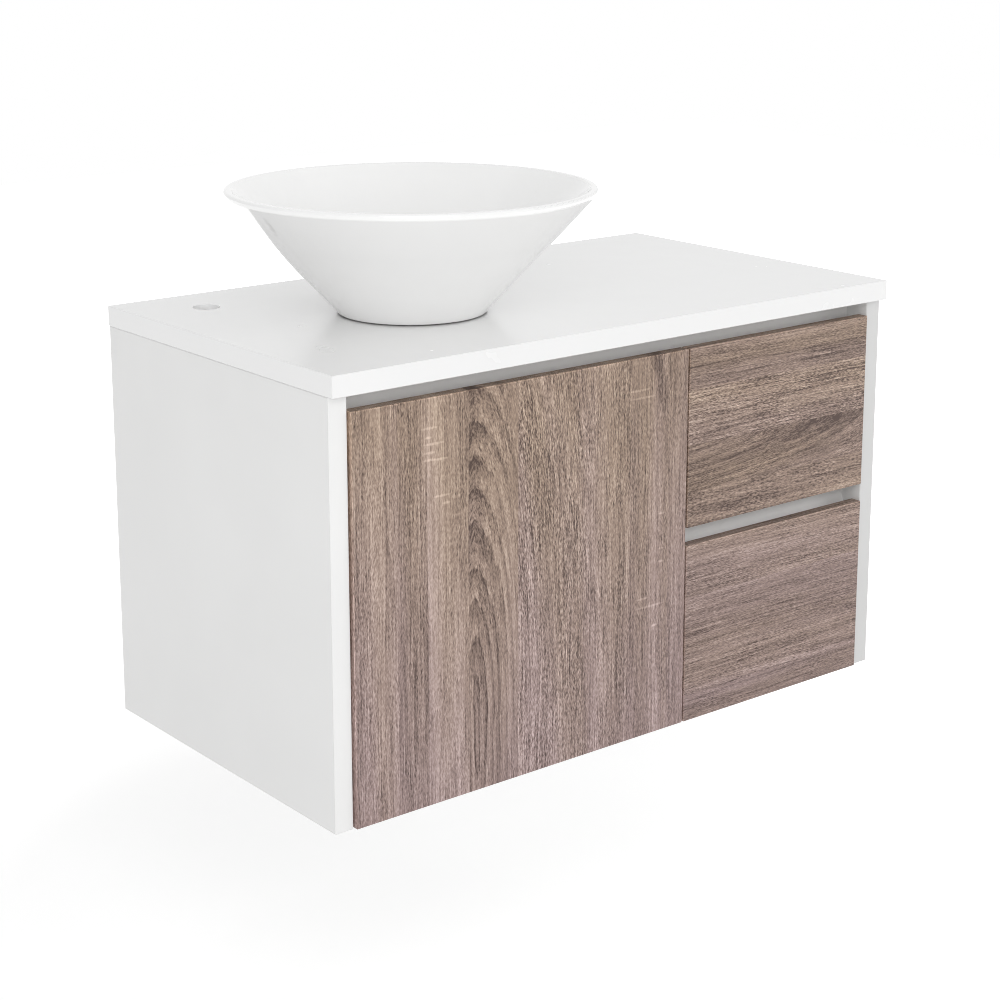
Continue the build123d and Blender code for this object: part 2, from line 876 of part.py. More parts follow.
def wall_flange():
    """Domed cover ring that slides on the pipe against the wall."""
    dome = turned(
        (inlet_bore, 0, 0),
        (flange_radius, 0, 0),
        (flange_radius, 2, 1),
        (pipe_radius + 4, flange_thickness, 4),
        (inlet_bore, flange_thickness, 0.5),
    )
    return basin_place * Pos(0, wall_y - basin_y, outlet_z) * Rot(90, 0, 0) * dome


# ---------------------------------------------------------------- the whole


def write_carcass():
    write("left_side_panel", side_panel(-1))
    write("right_side_panel", side_panel(1))
    write("bottom_panel", bottom_panel())
    write("divider_panel", divider_panel())
    write("front_top_rail", front_top_rail())
    write("upper_back_rail", upper_back_rail())
    write("lower_back_rail", lower_back_rail())
    write("drawer_back_panel", drawer_back_panel())
    write("benchtop", benchtop())
    write("top_finger_profile", top_finger_profile())
    write("middle_finger_profile", middle_finger_profile())
    write("profile_clips", *profile_clips())
    write("shelf", shelf())
    write("shelf_pins", *shelf_pins())


def write_door():
    write("door_front", door_front())
    write("door_bumpers", *door_bumpers())
    write("hinge_cups", *[hinge_cup(z) for z in hinge_heights])
    write("hinge_pins", *[hinge_pin(z) for z in hinge_heights])
    write("hinge_arms", *[hinge_arm(z) for z in hinge_heights])
    write("hinge_plates", *[hinge_plate(z) for z in hinge_heights])


def write_drawer(name, front_z, box_bottom, box_height):
    left, right, back, bottom = drawer_box(box_bottom, box_height)
    slide_z = box_bottom + min(slide_centre_up, box_height - outer_half - arris)
    write(f"{name}_drawer_front", drawer_front(*front_z))
    write(f"{name}_drawer_left_side", left)
    write(f"{name}_drawer_right_side", right)
    write(f"{name}_drawer_back", back)
    write(f"{name}_drawer_bottom", bottom)
    write(f"{name}_slide_cabinet_members", *cabinet_members(slide_z))
    write(f"{name}_slide_outer_cages", *outer_cages(slide_z))
    write(f"{name}_slide_middle_members", *middle_members(slide_z))
    write(f"{name}_slide_inner_cages", *inner_cages(slide_z))
    write(f"{name}_slide_drawer_members", *drawer_members(slide_z))


def write_basin_and_drain():
    write("basin", basin())
    write("waste_body", waste_body())
    write("waste_seal", waste_seal())
    write("waste_washer", waste_washer())
    write("waste_nut", waste_nut())
    write("click_cartridge", click_cartridge())
    write("plug", plug())
    write("plug_seal", plug_seal())
    write("trap_coupling_nut", trap_coupling_nut())
    write("trap_seal", trap_seal())
    write("trap_inlet_tube", trap_inlet_tube())
    write("trap_neck_nut", trap_neck_nut())
    write("trap_neck_seal", trap_neck_seal())
    write("trap_body", trap_body())
    write("trap_cup", trap_cup())
    write("outlet_nut", outlet_nut())
    write("outlet_pipe", outlet_pipe())
    write("wall_flange", wall_flange())


os.makedirs("parts", exist_ok=True)
write_carcass()
write_door()
write_drawer("upper", (upper_front_bottom, fronts_top), upper_box_bottom, upper_box_height)
write_drawer("lower", (0, lower_front_height), lower_box_bottom, lower_box_height)
write_basin_and_drain()
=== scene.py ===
"""Looks of a wall-hung vanity with a vessel basin, laid out as an add-on.

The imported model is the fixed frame. Each operator finishes one group of pieces; lengths are
metres, X to the right, Y towards the wall, Z up.
"""

import math

import bmesh
import bpy
from bpy.props import FloatProperty, FloatVectorProperty, PointerProperty
from mathutils import Matrix, Vector


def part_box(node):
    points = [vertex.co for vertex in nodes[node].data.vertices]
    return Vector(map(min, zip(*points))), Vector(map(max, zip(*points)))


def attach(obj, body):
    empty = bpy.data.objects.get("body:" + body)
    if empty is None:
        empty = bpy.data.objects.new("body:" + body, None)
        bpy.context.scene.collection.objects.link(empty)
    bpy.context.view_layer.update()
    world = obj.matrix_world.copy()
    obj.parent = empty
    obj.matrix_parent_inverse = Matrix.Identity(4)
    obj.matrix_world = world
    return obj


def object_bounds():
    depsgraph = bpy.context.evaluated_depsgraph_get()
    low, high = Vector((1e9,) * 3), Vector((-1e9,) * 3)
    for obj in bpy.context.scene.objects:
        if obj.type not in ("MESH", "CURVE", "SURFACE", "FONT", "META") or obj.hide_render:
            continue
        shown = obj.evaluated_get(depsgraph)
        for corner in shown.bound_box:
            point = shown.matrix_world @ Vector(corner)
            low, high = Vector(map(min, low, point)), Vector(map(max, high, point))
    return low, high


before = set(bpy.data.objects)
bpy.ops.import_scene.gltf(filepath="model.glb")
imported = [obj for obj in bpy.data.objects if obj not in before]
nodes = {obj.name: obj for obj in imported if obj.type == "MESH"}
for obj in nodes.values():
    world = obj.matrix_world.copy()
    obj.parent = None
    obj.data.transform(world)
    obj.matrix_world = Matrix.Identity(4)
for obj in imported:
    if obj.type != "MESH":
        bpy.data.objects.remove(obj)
cad_low, cad_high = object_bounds()

bl_info = {
    "name": "Vessel Basin Vanity",
    "version": (1, 0, 0),
    "blender": (4, 5, 0),
    "location": "View3D > Sidebar > Vanity",
    "description": "Finishes and small pieces for a wall-hung vanity with a vessel basin",
    "category": "Object",
}

DRAWERS = ("upper", "lower")

# Boards of the carcass and of a drawer's box, by the axis that their thickness lies along.
CARCASS_BOARDS = (
    ("left_side_panel", "right_side_panel", "divider_panel"),
    ("upper_back_rail", "lower_back_rail", "drawer_back_panel"),
    ("bottom_panel", "front_top_rail", "shelf"),
)
DRAWER_BOARDS = (("left_side", "right_side"), ("back",), ("bottom",))
DRAWER_LEVEL = 0.97
FAR = 100.0

# Even finishes: values of the shared group, then the strength of the grain's bump.
EVEN_KEYS = ("Drift Scale", "Drift", "Roughness", "Gloss Drift", "Grain Scale")
EVEN_FINISHES = {
    "melamine": (5.0, 0.03, 0.42, 0.12, 1300.0, 0.0),
    "bench_lacquer": (3.0, 0.02, 0.26, 0.08, 260.0, 0.0),
    "white_glaze": (7.0, 0.018, 0.085, 0.03, 95.0, 0.035),
    "powder_coat": (9.0, 0.03, 0.44, 0.08, 1600.0, 0.10),
    "clip_plastic": (40.0, 0.03, 0.36, 0.10, 2400.0, 0.08),
    "bumper_plastic": (200.0, 0.03, 0.28, 0.12, 1800.0, 0.05),
    "trap_plastic": (18.0, 0.035, 0.30, 0.10, 700.0, 0.10),
    "black_rubber": (60.0, 0.12, 0.62, 0.2, 1500.0, 0.25),
}
# Worked metals: colour and its level, then values of the shared group.
METAL_KEYS = ("Lines", "Cloud Scale", "Cloud", "Roughness", "Line Depth")
METALS = {
    "zinc_plate": ("zinc", 1.0, (420.0, 9.0, 420.0), 70.0, 0.16, 0.30, 0.2),
    "nickel_plate": ("nickel", 1.0, (260.0, 260.0, 40.0), 60.0, 0.06, 0.20, 0.1),
    "screw_zinc": ("zinc", 1.0, (500.0, 500.0, 500.0), 300.0, 0.1, 0.28, 0.2),
    "polished_chrome": ("chrome", 1.0, (160.0, 160.0, 160.0), 60.0, 0.02, 0.07, 0.03),
    "cast_brass": ("brass", 1.0, (700.0, 700.0, 700.0), 110.0, 0.22, 0.36, 0.2),
    "greased_steel": ("nickel", 0.92, (600.0, 60.0, 600.0), 220.0, 0.25, 0.20, 0.2),
}
# Sockets of the shared groups that aren't plain numbers.
VECTORS = ("Place", "Low", "High", "Lines")
COLOURS = ("Color", "Light", "Middle", "Dark")
BAND_WALL = 0.001
BEHIND_BAND = (0.42, 0.41, 0.39, 1.0)
BARE_CLAY = ((0.60, 0.57, 0.52, 1.0), (0.72, 0.70, 0.66, 1.0))
# Painted contact shadow along the basin's foot.
PAINTED_CONTACT_SHADOW = (0.05, 0.05, 0.05, 1.0)
TAP_HOLE = (-0.3575, 0.164, 0.529)
# Painted light for the wall of the tap hole.
BORE_PAINTED_LIGHT = (0.98, 0.98, 0.98, 1.0)
# Finger pulls: painted light at the foot and painted shade at the top, where the bench shades them. The
# heights between which the coat's level falls, and the painted shade it falls to.
PULL_PAINTED_LIGHT = 1.09
PULLS = {"top": (0.499, 0.516, 0.66), "middle": (0.240, 0.262, 0.62)}

# Each board of a front: where it ends, then its values. Its grain flows round a heart.
BOARD_KEYS = ("Tone", "Flow", "Rings", "Pores", "Flecks", "Heart Across", "Heart Along")
DOOR_HEART, UPPER_HEART, LOWER_HEART = (0.174, 0.11), (0.112, -0.02), (-0.2, 0.2)
DOOR_BOARDS = (
    (0.062, 0.49, 0.0, 0.0, 0.75, 0.0, 0.0, 0.1),
    (0.103, 0.46, 0.0, 0.0, 0.75, 0.0, 0.0, 0.1),
    (0.164, 0.54, 0.0, 0.0, 0.7, 0.5, 0.0, 0.1),
    (0.237, 0.47, 1.0, 0.85, 0.6, 0.0, *DOOR_HEART),
    (0.349, 0.49, 1.0, 0.10, 1.1, 0.0, *DOOR_HEART),
    (0.415, 0.45, 0.5, 0.05, 0.95, 0.0, *DOOR_HEART),
    (0.480, 0.40, 0.0, 0.0, 0.75, 0.3, 0.478, -0.01),
    (0.513, 0.39, 0.0, 0.0, 0.7, 0.0, *DOOR_HEART),
)
UPPER_BOARDS = (
    (0.046, 0.35, 0.3, 0.0, 0.75, 0.0, *UPPER_HEART),
    (0.107, 0.31, 1.0, 0.45, 0.65, 0.0, *UPPER_HEART),
    (0.180, 0.36, 0.0, 0.0, 1.1, 0.0, *UPPER_HEART),
    (0.234, 0.38, 0.0, 0.0, 0.75, 0.0, *UPPER_HEART),
)
LOWER_BOARDS = (
    (0.034, 0.34, 0.0, 0.0, 0.6, 0.0, *LOWER_HEART),
    (0.104, 0.35, 0.2, 0.0, 0.75, 0.4, *LOWER_HEART),
    (0.168, 0.35, 0.2, 0.0, 0.65, 0.4, *LOWER_HEART),
    (0.238, 0.37, 0.0, 0.0, 0.75, 0.0, *LOWER_HEART),
)
# Saw marks on the door: place across and along, and half width. All are as long and as light.
SAW_LENGTH, SAW_TONE = 0.0019, 0.29
SAW_LINES = (
    (0.108, 0.460, 0.016), (0.107, 0.449, 0.006), (0.114, 0.441, 0.018), (0.108, 0.431, 0.010),
    (0.108, 0.4225, 0.011), (0.124, 0.4215, 0.014), (0.125, 0.3775, 0.015), (0.132, 0.368, 0.007),
    (0.430, 0.455, 0.023), (0.437, 0.445, 0.024), (0.452, 0.172, 0.030), (0.440, 0.184, 0.013),
    (0.461, 0.145, 0.007), (0.471, 0.291, 0.007), (0.470, 0.245, 0.007), (0.470, 0.228, 0.006),
)
# Each mark: its place across and along, half width and half length, lean and tone.
DOOR_MARKS = (
    *((*line, SAW_LENGTH, 0.0, SAW_TONE) for line in SAW_LINES),
    (0.107, 0.445, 0.008, 0.070, 0.0, 0.12),
    (0.150, 0.150, 0.012, 0.160, 0.0, 0.07),
    (0.171, 0.440, 0.014, 0.110, 0.0, -0.14),
    (0.466, 0.462, 0.010, 0.050, -0.16, -0.24),
    (0.458, 0.498, 0.016, 0.030, -0.10, -0.16),
    (0.328, 0.465, 0.016, 0.050, 0.0, -0.12),
    (0.430, 0.430, 0.070, 0.110, 0.0, -0.07),
    (0.085, 0.130, 0.0014, 0.120, 0.0, -0.16),
    (0.104, 0.160, 0.0014, 0.100, 0.0, -0.12),
    (0.066, 0.400, 0.0012, 0.100, 0.02, -0.10),
)
UPPER_MARKS = (
    (0.192, 0.150, 0.002, 0.200, 0.0, -0.12),
    (0.172, 0.180, 0.010, 0.150, 0.0, -0.05),
    (0.098, 0.250, 0.012, 0.090, 0.05, -0.10),
    (0.200, 0.250, 0.060, 0.080, 0.0, -0.06),
)
LOWER_MARKS = (
    (0.122, 0.160, 0.002, 0.200, 0.015, -0.12),
    (0.128, 0.250, 0.002, 0.090, 0.0, -0.10),
    (0.031, 0.180, 0.002, 0.180, 0.02, -0.12),
    (0.233, 0.290, 0.003, 0.030, -0.05, -0.14),
)
# Fronts: axes across and along the grain, warmth at the foot and the head, and the ovals round the heart.
OVAL_KEYS = ("Stretch Above", "Stretch Below", "Ring Width")
FRONTS = {
    "door_front": (0, 2, (0.05, 1.0), (4.07, 11.0, 0.0105), DOOR_BOARDS, DOOR_MARKS),
    "upper_drawer_front": (2, 0, (0.78, 0.88), (5.0, 5.0, 0.010), UPPER_BOARDS, UPPER_MARKS),
    "lower_drawer_front": (2, 0, (0.15, 0.6), (6.0, 6.0, 0.0105), LOWER_BOARDS, LOWER_MARKS),
}

# Soft lamps: place and diameter.
LAMPS = {
    "key": ((-1.6, -2.2, 1.55), 2.2),
    "right": ((2.6, -1.6, 1.2), 1.6),
    "top": ((0.0, 0.0, 3.2), 4.0),
}
CAMERA_PLACE = (-1.727, -2.134, 1.076)
CAMERA_YAW, CAMERA_PITCH = 38.73, 12.62

# Screws: radius and height of the head, radius of the shank and rise of the dome. A height of 0 or less
# is that of a countersunk head. Each screw in a row is turned a little further than the last.
SCREWS = {
    "hinge_screw": (0.0040, 0.0020, 0.0024, 0.0005),
    "cup_screw": (0.0036, 0.0014, 0.0021, 0.0004),
    "slide_screw": (0.0036, -0.0011, 0.0024, 0.0002),
    "board_screw": (0.0034, 0.0016, 0.0018, 0.0004),
}
SCREW_TURN, SCREW_SIDES, SCREW_NECK = 0.7, 20, 0.0006
SMOOTH_ANGLE = math.radians(35)
# Screw holes of the slides, from each member's front end.
CABINET_HOLES = (0.035, 0.163, 0.291, 0.380)
DRAWER_HOLES = (0.025, 0.153, 0.281, 0.370)
# Screws of the rail under the bench, as shares of half its length from the middle, and those of a drawer's
# bottom, as shares of its width from the left.
RAIL_SCREWS = (-0.9, -0.32, 0.32, 0.9)
BOTTOM_SCREWS = (0.14, 0.5, 0.86)
BOTTOM_SCREW_INSET = 0.006
# A clip's plate, and its screws' distance from its front and its foot.
CLIP_WALL, CLIP_HEIGHT = 0.002, 0.030
CLIP_SCREW_DEPTH, CLIP_SCREW_HEIGHTS = 0.0085, (0.0075, 0.0225)
THREAD_RADIUS, THREAD_DEPTH, THREAD_PITCH = 0.0209, 0.0008, 0.0021
THREAD_GAP, THREAD_STEPS = 0.0002, 48


def colour_property(label, text, value):
    """Colour of a finish, as a user would pick it."""
    return FloatVectorProperty(
        name=label, description=text, default=value, subtype="COLOR", size=3, min=0.0, max=1.0
    )


def length_property(label, text, value):
    """Length in metres."""
    return FloatProperty(name=label, description=text, default=value, unit="LENGTH", min=0.0)


def power_property(label, text, value):
    """Power of a lamp in watts."""
    return FloatProperty(name=label, description=text, default=value, unit="POWER")


class VanityFinishes(bpy.types.PropertyGroup):
    """Colours of the vanity's finishes."""

    board: colour_property("Board", "White melamine of the carcass", (0.845, 0.845, 0.84))
    bench: colour_property("Bench", "White lacquer of the benchtop", (0.845, 0.845, 0.843))
    glaze: colour_property("Glaze", "White glaze of the basin", (0.925, 0.925, 0.92))
    profile: colour_property("Profile", "Powder coat of the finger pulls", (0.89, 0.885, 0.875))
    oak_light: colour_property("Oak light", "Pale fibres between the pores", (0.757, 0.632, 0.545))
    oak_middle: colour_property("Oak middle", "Wood between pale and dark", (0.315, 0.238, 0.195))
    oak_dark: colour_property("Oak dark", "Dark wood in the pores and rings", (0.055, 0.030, 0.022))
    plastic: colour_property("Plastic", "White plastic of the trap", (0.80, 0.80, 0.79))
    zinc: colour_property("Zinc", "Zinc plate of the slides", (0.58, 0.60, 0.63))
    nickel: colour_property("Nickel", "Nickel plate of the hinges", (0.66, 0.64, 0.61))
    chrome: colour_property("Chrome", "Chrome of the waste and plug", (0.80, 0.81, 0.82))
    brass: colour_property("Brass", "Cast brass of the nut", (0.60, 0.42, 0.18))


class VanityHardware(bpy.types.PropertyGroup):
    """Sizes of the hinges and slides that their screws are placed by."""

    plate_height: length_property("Plate height", "Height of a hinge's plate", 0.052)
    plate_wall: length_property("Plate wall", "Thickness of a hinge's plate", 0.003)
    plate_screw_reach: length_property("Plate screw reach", "From a plate's middle to its screws", 0.017)
    arm_standoff: length_property("Arm standoff", "From the side panel to the middle of an arm", 0.009)
    arm_wall: length_property("Arm wall", "Thickness of a hinge's arm", 0.003)
    arm_screw_inset: length_property("Arm screw inset", "From an arm's end to its first screw", 0.012)
    arm_screw_pitch: length_property("Arm screw pitch", "Between the two screws of an arm", 0.016)
    cup_radius: length_property("Cup radius", "Radius of a hinge's cup", 0.0175)
    cup_screw_inset: length_property("Cup screw inset", "From a cup flange's end to its screw", 0.0045)
    cup_flange: length_property("Cup flange", "Thickness of a cup's flange", 0.001)
    slide_steel: length_property("Slide steel", "Thickness of a slide's steel", 0.0012)


class VanityStage(bpy.types.PropertyGroup):
    """Sizes and levels of the floor, the lights and the camera."""

    hanging_height: length_property("Hanging height", "From the floor to the cabinet", 0.34)
    floor_size: length_property("Floor size", "Side of the square floor", 14.0)
    key_power: power_property("Key power", "Big soft lamp, front left", 24.5)
    right_power: power_property("Right power", "Soft lamp on the right", 18.5)
    top_power: power_property("Top power", "Soft lamp overhead", 4.0)
    ambient: FloatProperty(name="Ambient", description="Strength of the pale surroundings", default=0.68)
    lens: FloatProperty(name="Lens", description="Focal length in millimetres", default=77.3)
    shift: FloatProperty(name="Shift", description="Vertical shift of the camera", default=-0.147)


# ---------------------------------------------------------------- shader building


class Graph:
    """Adds nodes to one tree and links what is handed to them."""

    def __init__(self, tree):
        self.tree = tree

    def node(self, kind, inputs=None, **settings):
        """A node with its settings; an input is a value or another node's output."""
        made = self.tree.nodes.new("ShaderNode" + kind)
        for key, value in settings.items():
            setattr(made, key, value)
        for key, value in (inputs or {}).items():
            self.feed(made.inputs[key], value)
        return made

    def feed(self, socket, value):
        if isinstance(value, bpy.types.NodeSocket):
            self.tree.links.new(value, socket)
        else:
            socket.default_value = value

    def math(self, operation, *values, clamp=False):
        made = self.node("Math", dict(enumerate(values)), operation=operation, use_clamp=clamp)
        return made.outputs[0]

    def fold(self, operation, first, *others):
        """One value after another joined by the same operation."""
        for other in others:
            first = self.math(operation, first, other)
        return first

    def add(self, *values):
        return self.fold("ADD", *values)

    def minus(self, *values):
        return self.fold("SUBTRACT", *values)

    def times(self, *values):
        return self.fold("MULTIPLY", *values)

    def sway(self, value, reach):
        """A value's distance from a half, times reach."""
        return self.times(self.minus(value, 0.5), reach)

    def place(self):
        """Coordinates of the object."""
        return self.node("TexCoord").outputs["Object"]

    def axes(self, vector):
        """The three values of a vector."""
        return self.node("SeparateXYZ", {0: vector}).outputs

    def combine(self, x, y, z):
        """A vector of three values."""
        return self.node("CombineXYZ", {0: x, 1: y, 2: z}).outputs[0]

    def vector(self, operation, a, b):
        """Vectors a and b joined axis by axis."""
        return self.node("VectorMath", {0: a, 1: b}, operation=operation).outputs[0]

    def length(self, vector):
        return self.node("VectorMath", {0: vector}, operation="LENGTH").outputs["Value"]

    def scale(self, colour, level):
        """A colour, or any vector, times one level."""
        return self.node("VectorMath", {0: colour, 3: level}, operation="SCALE").outputs[0]

    def noise(self, vector, scale, detail=2.0, distortion=0.0):
        inputs = {"Vector": vector, "Scale": scale, "Detail": detail, "Distortion": distortion}
        return self.node("TexNoise", inputs).outputs["Fac"]

    def steps(self, value, *stops):
        """Levels held from each (place, level) stop to the next."""
        made = self.node("ValToRGB", {0: value})
        band = made.color_ramp
        band.interpolation = "CONSTANT"
        while len(band.elements) < len(stops):
            band.elements.new(1.0)
        for element, (place, level) in zip(band.elements, stops):
            element.position = place
            element.color = (level, level, level, 1.0)
        return made.outputs["Color"]

    def mix(self, factor, a, b, blend="MIX"):
        made = self.node("Mix", data_type="RGBA", blend_type=blend)
        for socket, value in zip((made.inputs[0], made.inputs[6], made.inputs[7]), (factor, a, b)):
            self.feed(socket, value)
        return made.outputs[2]

    def blend(self, factor, a, b):
        """A value between a and b."""
        return self.node("Mix", {0: factor, 2: a, 3: b}, data_type="FLOAT").outputs[0]

    def range(self, value, low, high, to_low=0.0, to_high=1.0):
        """Maps low to high onto another span, clamped at its ends."""
        return self.node("MapRange", {0: value, 1: low, 2: high, 3: to_low, 4: to_high}).outputs[0]

    def curve(self, value, *points):
        """A value read off straight lines through points."""
        made = self.node("FloatCurve", {1: value})
        line = made.mapping.curves[0]
        while len(line.points) < len(points):
            line.points.new(1.0, 1.0)
        for point, place in zip(line.points, points):
            point.location = place
            point.handle_type = "VECTOR"
        made.mapping.update()
        return made.outputs[0]

    def bump(self, height, strength, distance):
        inputs = {"Height": height, "Strength": strength, "Distance": distance}
        return self.node("Bump", inputs).outputs[0]


def new_group(name, inputs, outputs):
    """An empty shader node group: its graph, its inputs by name and its output node."""
    tree = bpy.data.node_groups.new(name, "ShaderNodeTree")
    for way, labels in (("INPUT", inputs), ("OUTPUT", outputs)):
        for label in labels:
            kind = "Vector" if label in VECTORS else "Color" if label in COLOURS else "Float"
            tree.interface.new_socket(label, in_out=way, socket_type="NodeSocket" + kind)
    graph = Graph(tree)
    return graph, tree.nodes.new("NodeGroupInput").outputs, tree.nodes.new("NodeGroupOutput").inputs


def new_material(name):
    """A node material with its graph and its Principled shader."""
    made = bpy.data.materials.new(name)
    made.use_nodes = True
    return made, Graph(made.node_tree), made.node_tree.nodes["Principled BSDF"].inputs


def dress(names, material):
    """Gives CAD nodes a finish."""
    for name in names:
        slots = nodes[name].data.materials
        slots.clear()
        slots.append(material)


def finishes():
    return bpy.context.scene.vanity_finishes


def stage():
    return bpy.context.scene.vanity_stage


def hardware():
    return bpy.context.scene.vanity_hardware


def rgba(colour):
    return (*colour, 1.0)


def group_node(graph, name, values):
    """A shared group on a material, fed with values."""
    return graph.node("Group", values, node_tree=bpy.data.node_groups[name]).outputs


def connect(graph, shader, look, strength, distance):
    """A shared group's colour, roughness and bump on the shader; no bump at a strength of 0."""
    graph.feed(shader["Base Color"], look["Color"])
    graph.feed(shader["Roughness"], look["Roughness"])
    if strength:
        graph.feed(shader["Normal"], graph.bump(look["Height"], strength, distance))


# ---------------------------------------------------------------- oak fronts


def build_oak_group():
    """Printed oak: rings and pores that flow round a heart, flecks across the grain and board tones."""
    inputs = ("Across", "Depth", "Along", "Board", "Marks", "Warmth", *BOARD_KEYS, *OVAL_KEYS)
    inputs += ("Light", "Middle", "Dark")
    graph, given, out = new_group("oak_decor", inputs, ("Color", "Height", "Roughness"))
    math, add, minus, times, sway = graph.math, graph.add, graph.minus, graph.times, graph.sway
    length = add(given["Along"], times(given["Board"], 7.31))
    place = graph.combine(given["Across"], given["Depth"], length)

    # Distance from the heart: pointed ovals, drawn out above and below it.
    wander = sway(graph.noise(graph.vector("MULTIPLY", place, (9, 3, 3.2)), 1.0), 0.013)
    side = minus(add(given["Across"], wander), given["Heart Across"])
    aside = math("ABSOLUTE", side)
    ahead = minus(given["Along"], given["Heart Along"])
    above = math("DIVIDE", math("MAXIMUM", ahead, 0.0), given["Stretch Above"])
    below = math("DIVIDE", math("MINIMUM", ahead, 0.0), given["Stretch Below"])
    ahead = add(above, below)

    def oval(point):
        """Radius of the oval through a place; point sharpens its ends."""
        wide = add(aside, point)
        return math("SQRT", add(times(wide, wide), times(ahead, ahead)))

    # The grain's own coordinate: plain distance across, bent round the heart where it flows.
    straight = add(given["Across"], times(wander, 0.3))
    grain = graph.blend(given["Flow"], straight, oval(0.022))

    def drawn(across, along, detail, bend=0.0):
        """Noise drawn out along the grain, in cycles per metre across and along it."""
        skew = times(add(given["Depth"], times(side, 0.35)), across)
        place = graph.combine(times(grain, across), skew, times(length, along))
        return graph.noise(place, 1.0, detail, bend)

    # Rings start sharp and dark, fade towards the heart, are uneven in width and frayed by the fibres.
    radius = oval(0.006)
    frayed = sway(drawn(420.0, 30.0, 2), 0.55)
    uneven = times(graph.noise(graph.combine(times(radius, 30.0), 0.0, length), 1.0, 1), 1.6)
    ring = math("FRACT", add(math("DIVIDE", radius, given["Ring Width"]), add(uneven, frayed)))
    ring_tone = graph.curve(ring, (0.0, 0.60), (0.30, 0.56), (0.72, 0.24), (0.93, 0.06), (1.0, 0.66))
    ring_share = times(given["Rings"], graph.range(aside, 0.012, 0.055, 1.0, 0.40))
    core = times(graph.range(aside, 0.006, 0.034, 0.14, 0.0), given["Rings"])
    ring_tone = minus(times(minus(ring_tone, 0.5), ring_share), core)

    # Bands along the grain, then fine fibres with dark dashes in patches and a few long dark lines.
    broad = drawn(30.0, 1.6, 2)
    narrow = drawn(230.0, 5.0, 3)
    fibre = drawn(1050.0, 200.0, 2)
    dash = graph.range(drawn(850.0, 110.0, 2), 0.56, 0.66)
    patches = drawn(40.0, 14.0, 3)
    dashes = times(dash, graph.range(patches, 0.40, 0.62, 0.2, 1.2))
    line = graph.range(drawn(420.0, 9.0, 1, 0.3), 0.64, 0.70)
    strand = drawn(720.0, 16.0, 2)
    pores = add(sway(fibre, 2.4), sway(strand, 1.5))
    pores = minus(pores, times(dashes, 0.30), times(line, 0.24))
    pores = math("MINIMUM", pores, times(pores, 0.9))
    pores = times(pores, graph.range(patches, 0.36, 0.64, 0.80, 1.20), given["Pores"])

    # Flecks lie across the grain in patches.
    fleck = graph.combine(times(given["Across"], 45), given["Depth"], times(length, 170))
    fleck = graph.range(graph.noise(fleck, 1.0, 1), 0.56, 0.68)
    where = graph.noise(graph.vector("MULTIPLY", place, (16, 3, 7)), 1.0, 1)
    flecks = times(fleck, graph.range(where, 0.46, 0.60), given["Flecks"])

    bands = (sway(broad, 0.65), sway(narrow, 0.75))
    tone = add(given["Tone"], ring_tone, *bands, pores, given["Marks"], times(flecks, 0.26))
    low = graph.mix(graph.range(tone, -0.15, 0.5), given["Dark"], given["Middle"])
    colour = graph.mix(graph.range(tone, 0.5, 1.35), low, given["Light"])
    tint = graph.range(drawn(20.0, 1.2, 1), 0.36, 0.64, -0.22, 0.22)
    warm = math("ADD", given["Warmth"], tint, clamp=True)
    tinted = graph.mix(warm, (1.03, 0.973, 1.11, 1.0), (1.035, 0.973, 0.88, 1.0))
    graph.feed(out["Color"], graph.mix(1.0, colour, tinted, "MULTIPLY"))
    graph.feed(out["Height"], add(pores, times(narrow, 0.3)))
    graph.feed(out["Roughness"], graph.range(tone, 0.2, 0.9, 0.55, 0.42))


def mark_levels(graph, across, along, marks):
    """Sum of soft ovals; each has its place, half width and half length, its lean and its tone."""
    levels = []
    for at_across, at_along, wide, long, lean, tone in marks:
        ahead = graph.minus(along, at_along)
        aside = graph.math("MULTIPLY_ADD", ahead, -lean, graph.minus(across, at_across))
        spread = graph.combine(graph.math("DIVIDE", aside, wide), graph.math("DIVIDE", ahead, long), 0.0)
        levels.append(graph.range(graph.length(spread), 0.5, 1.0, tone, 0.0))
    return graph.add(*levels)


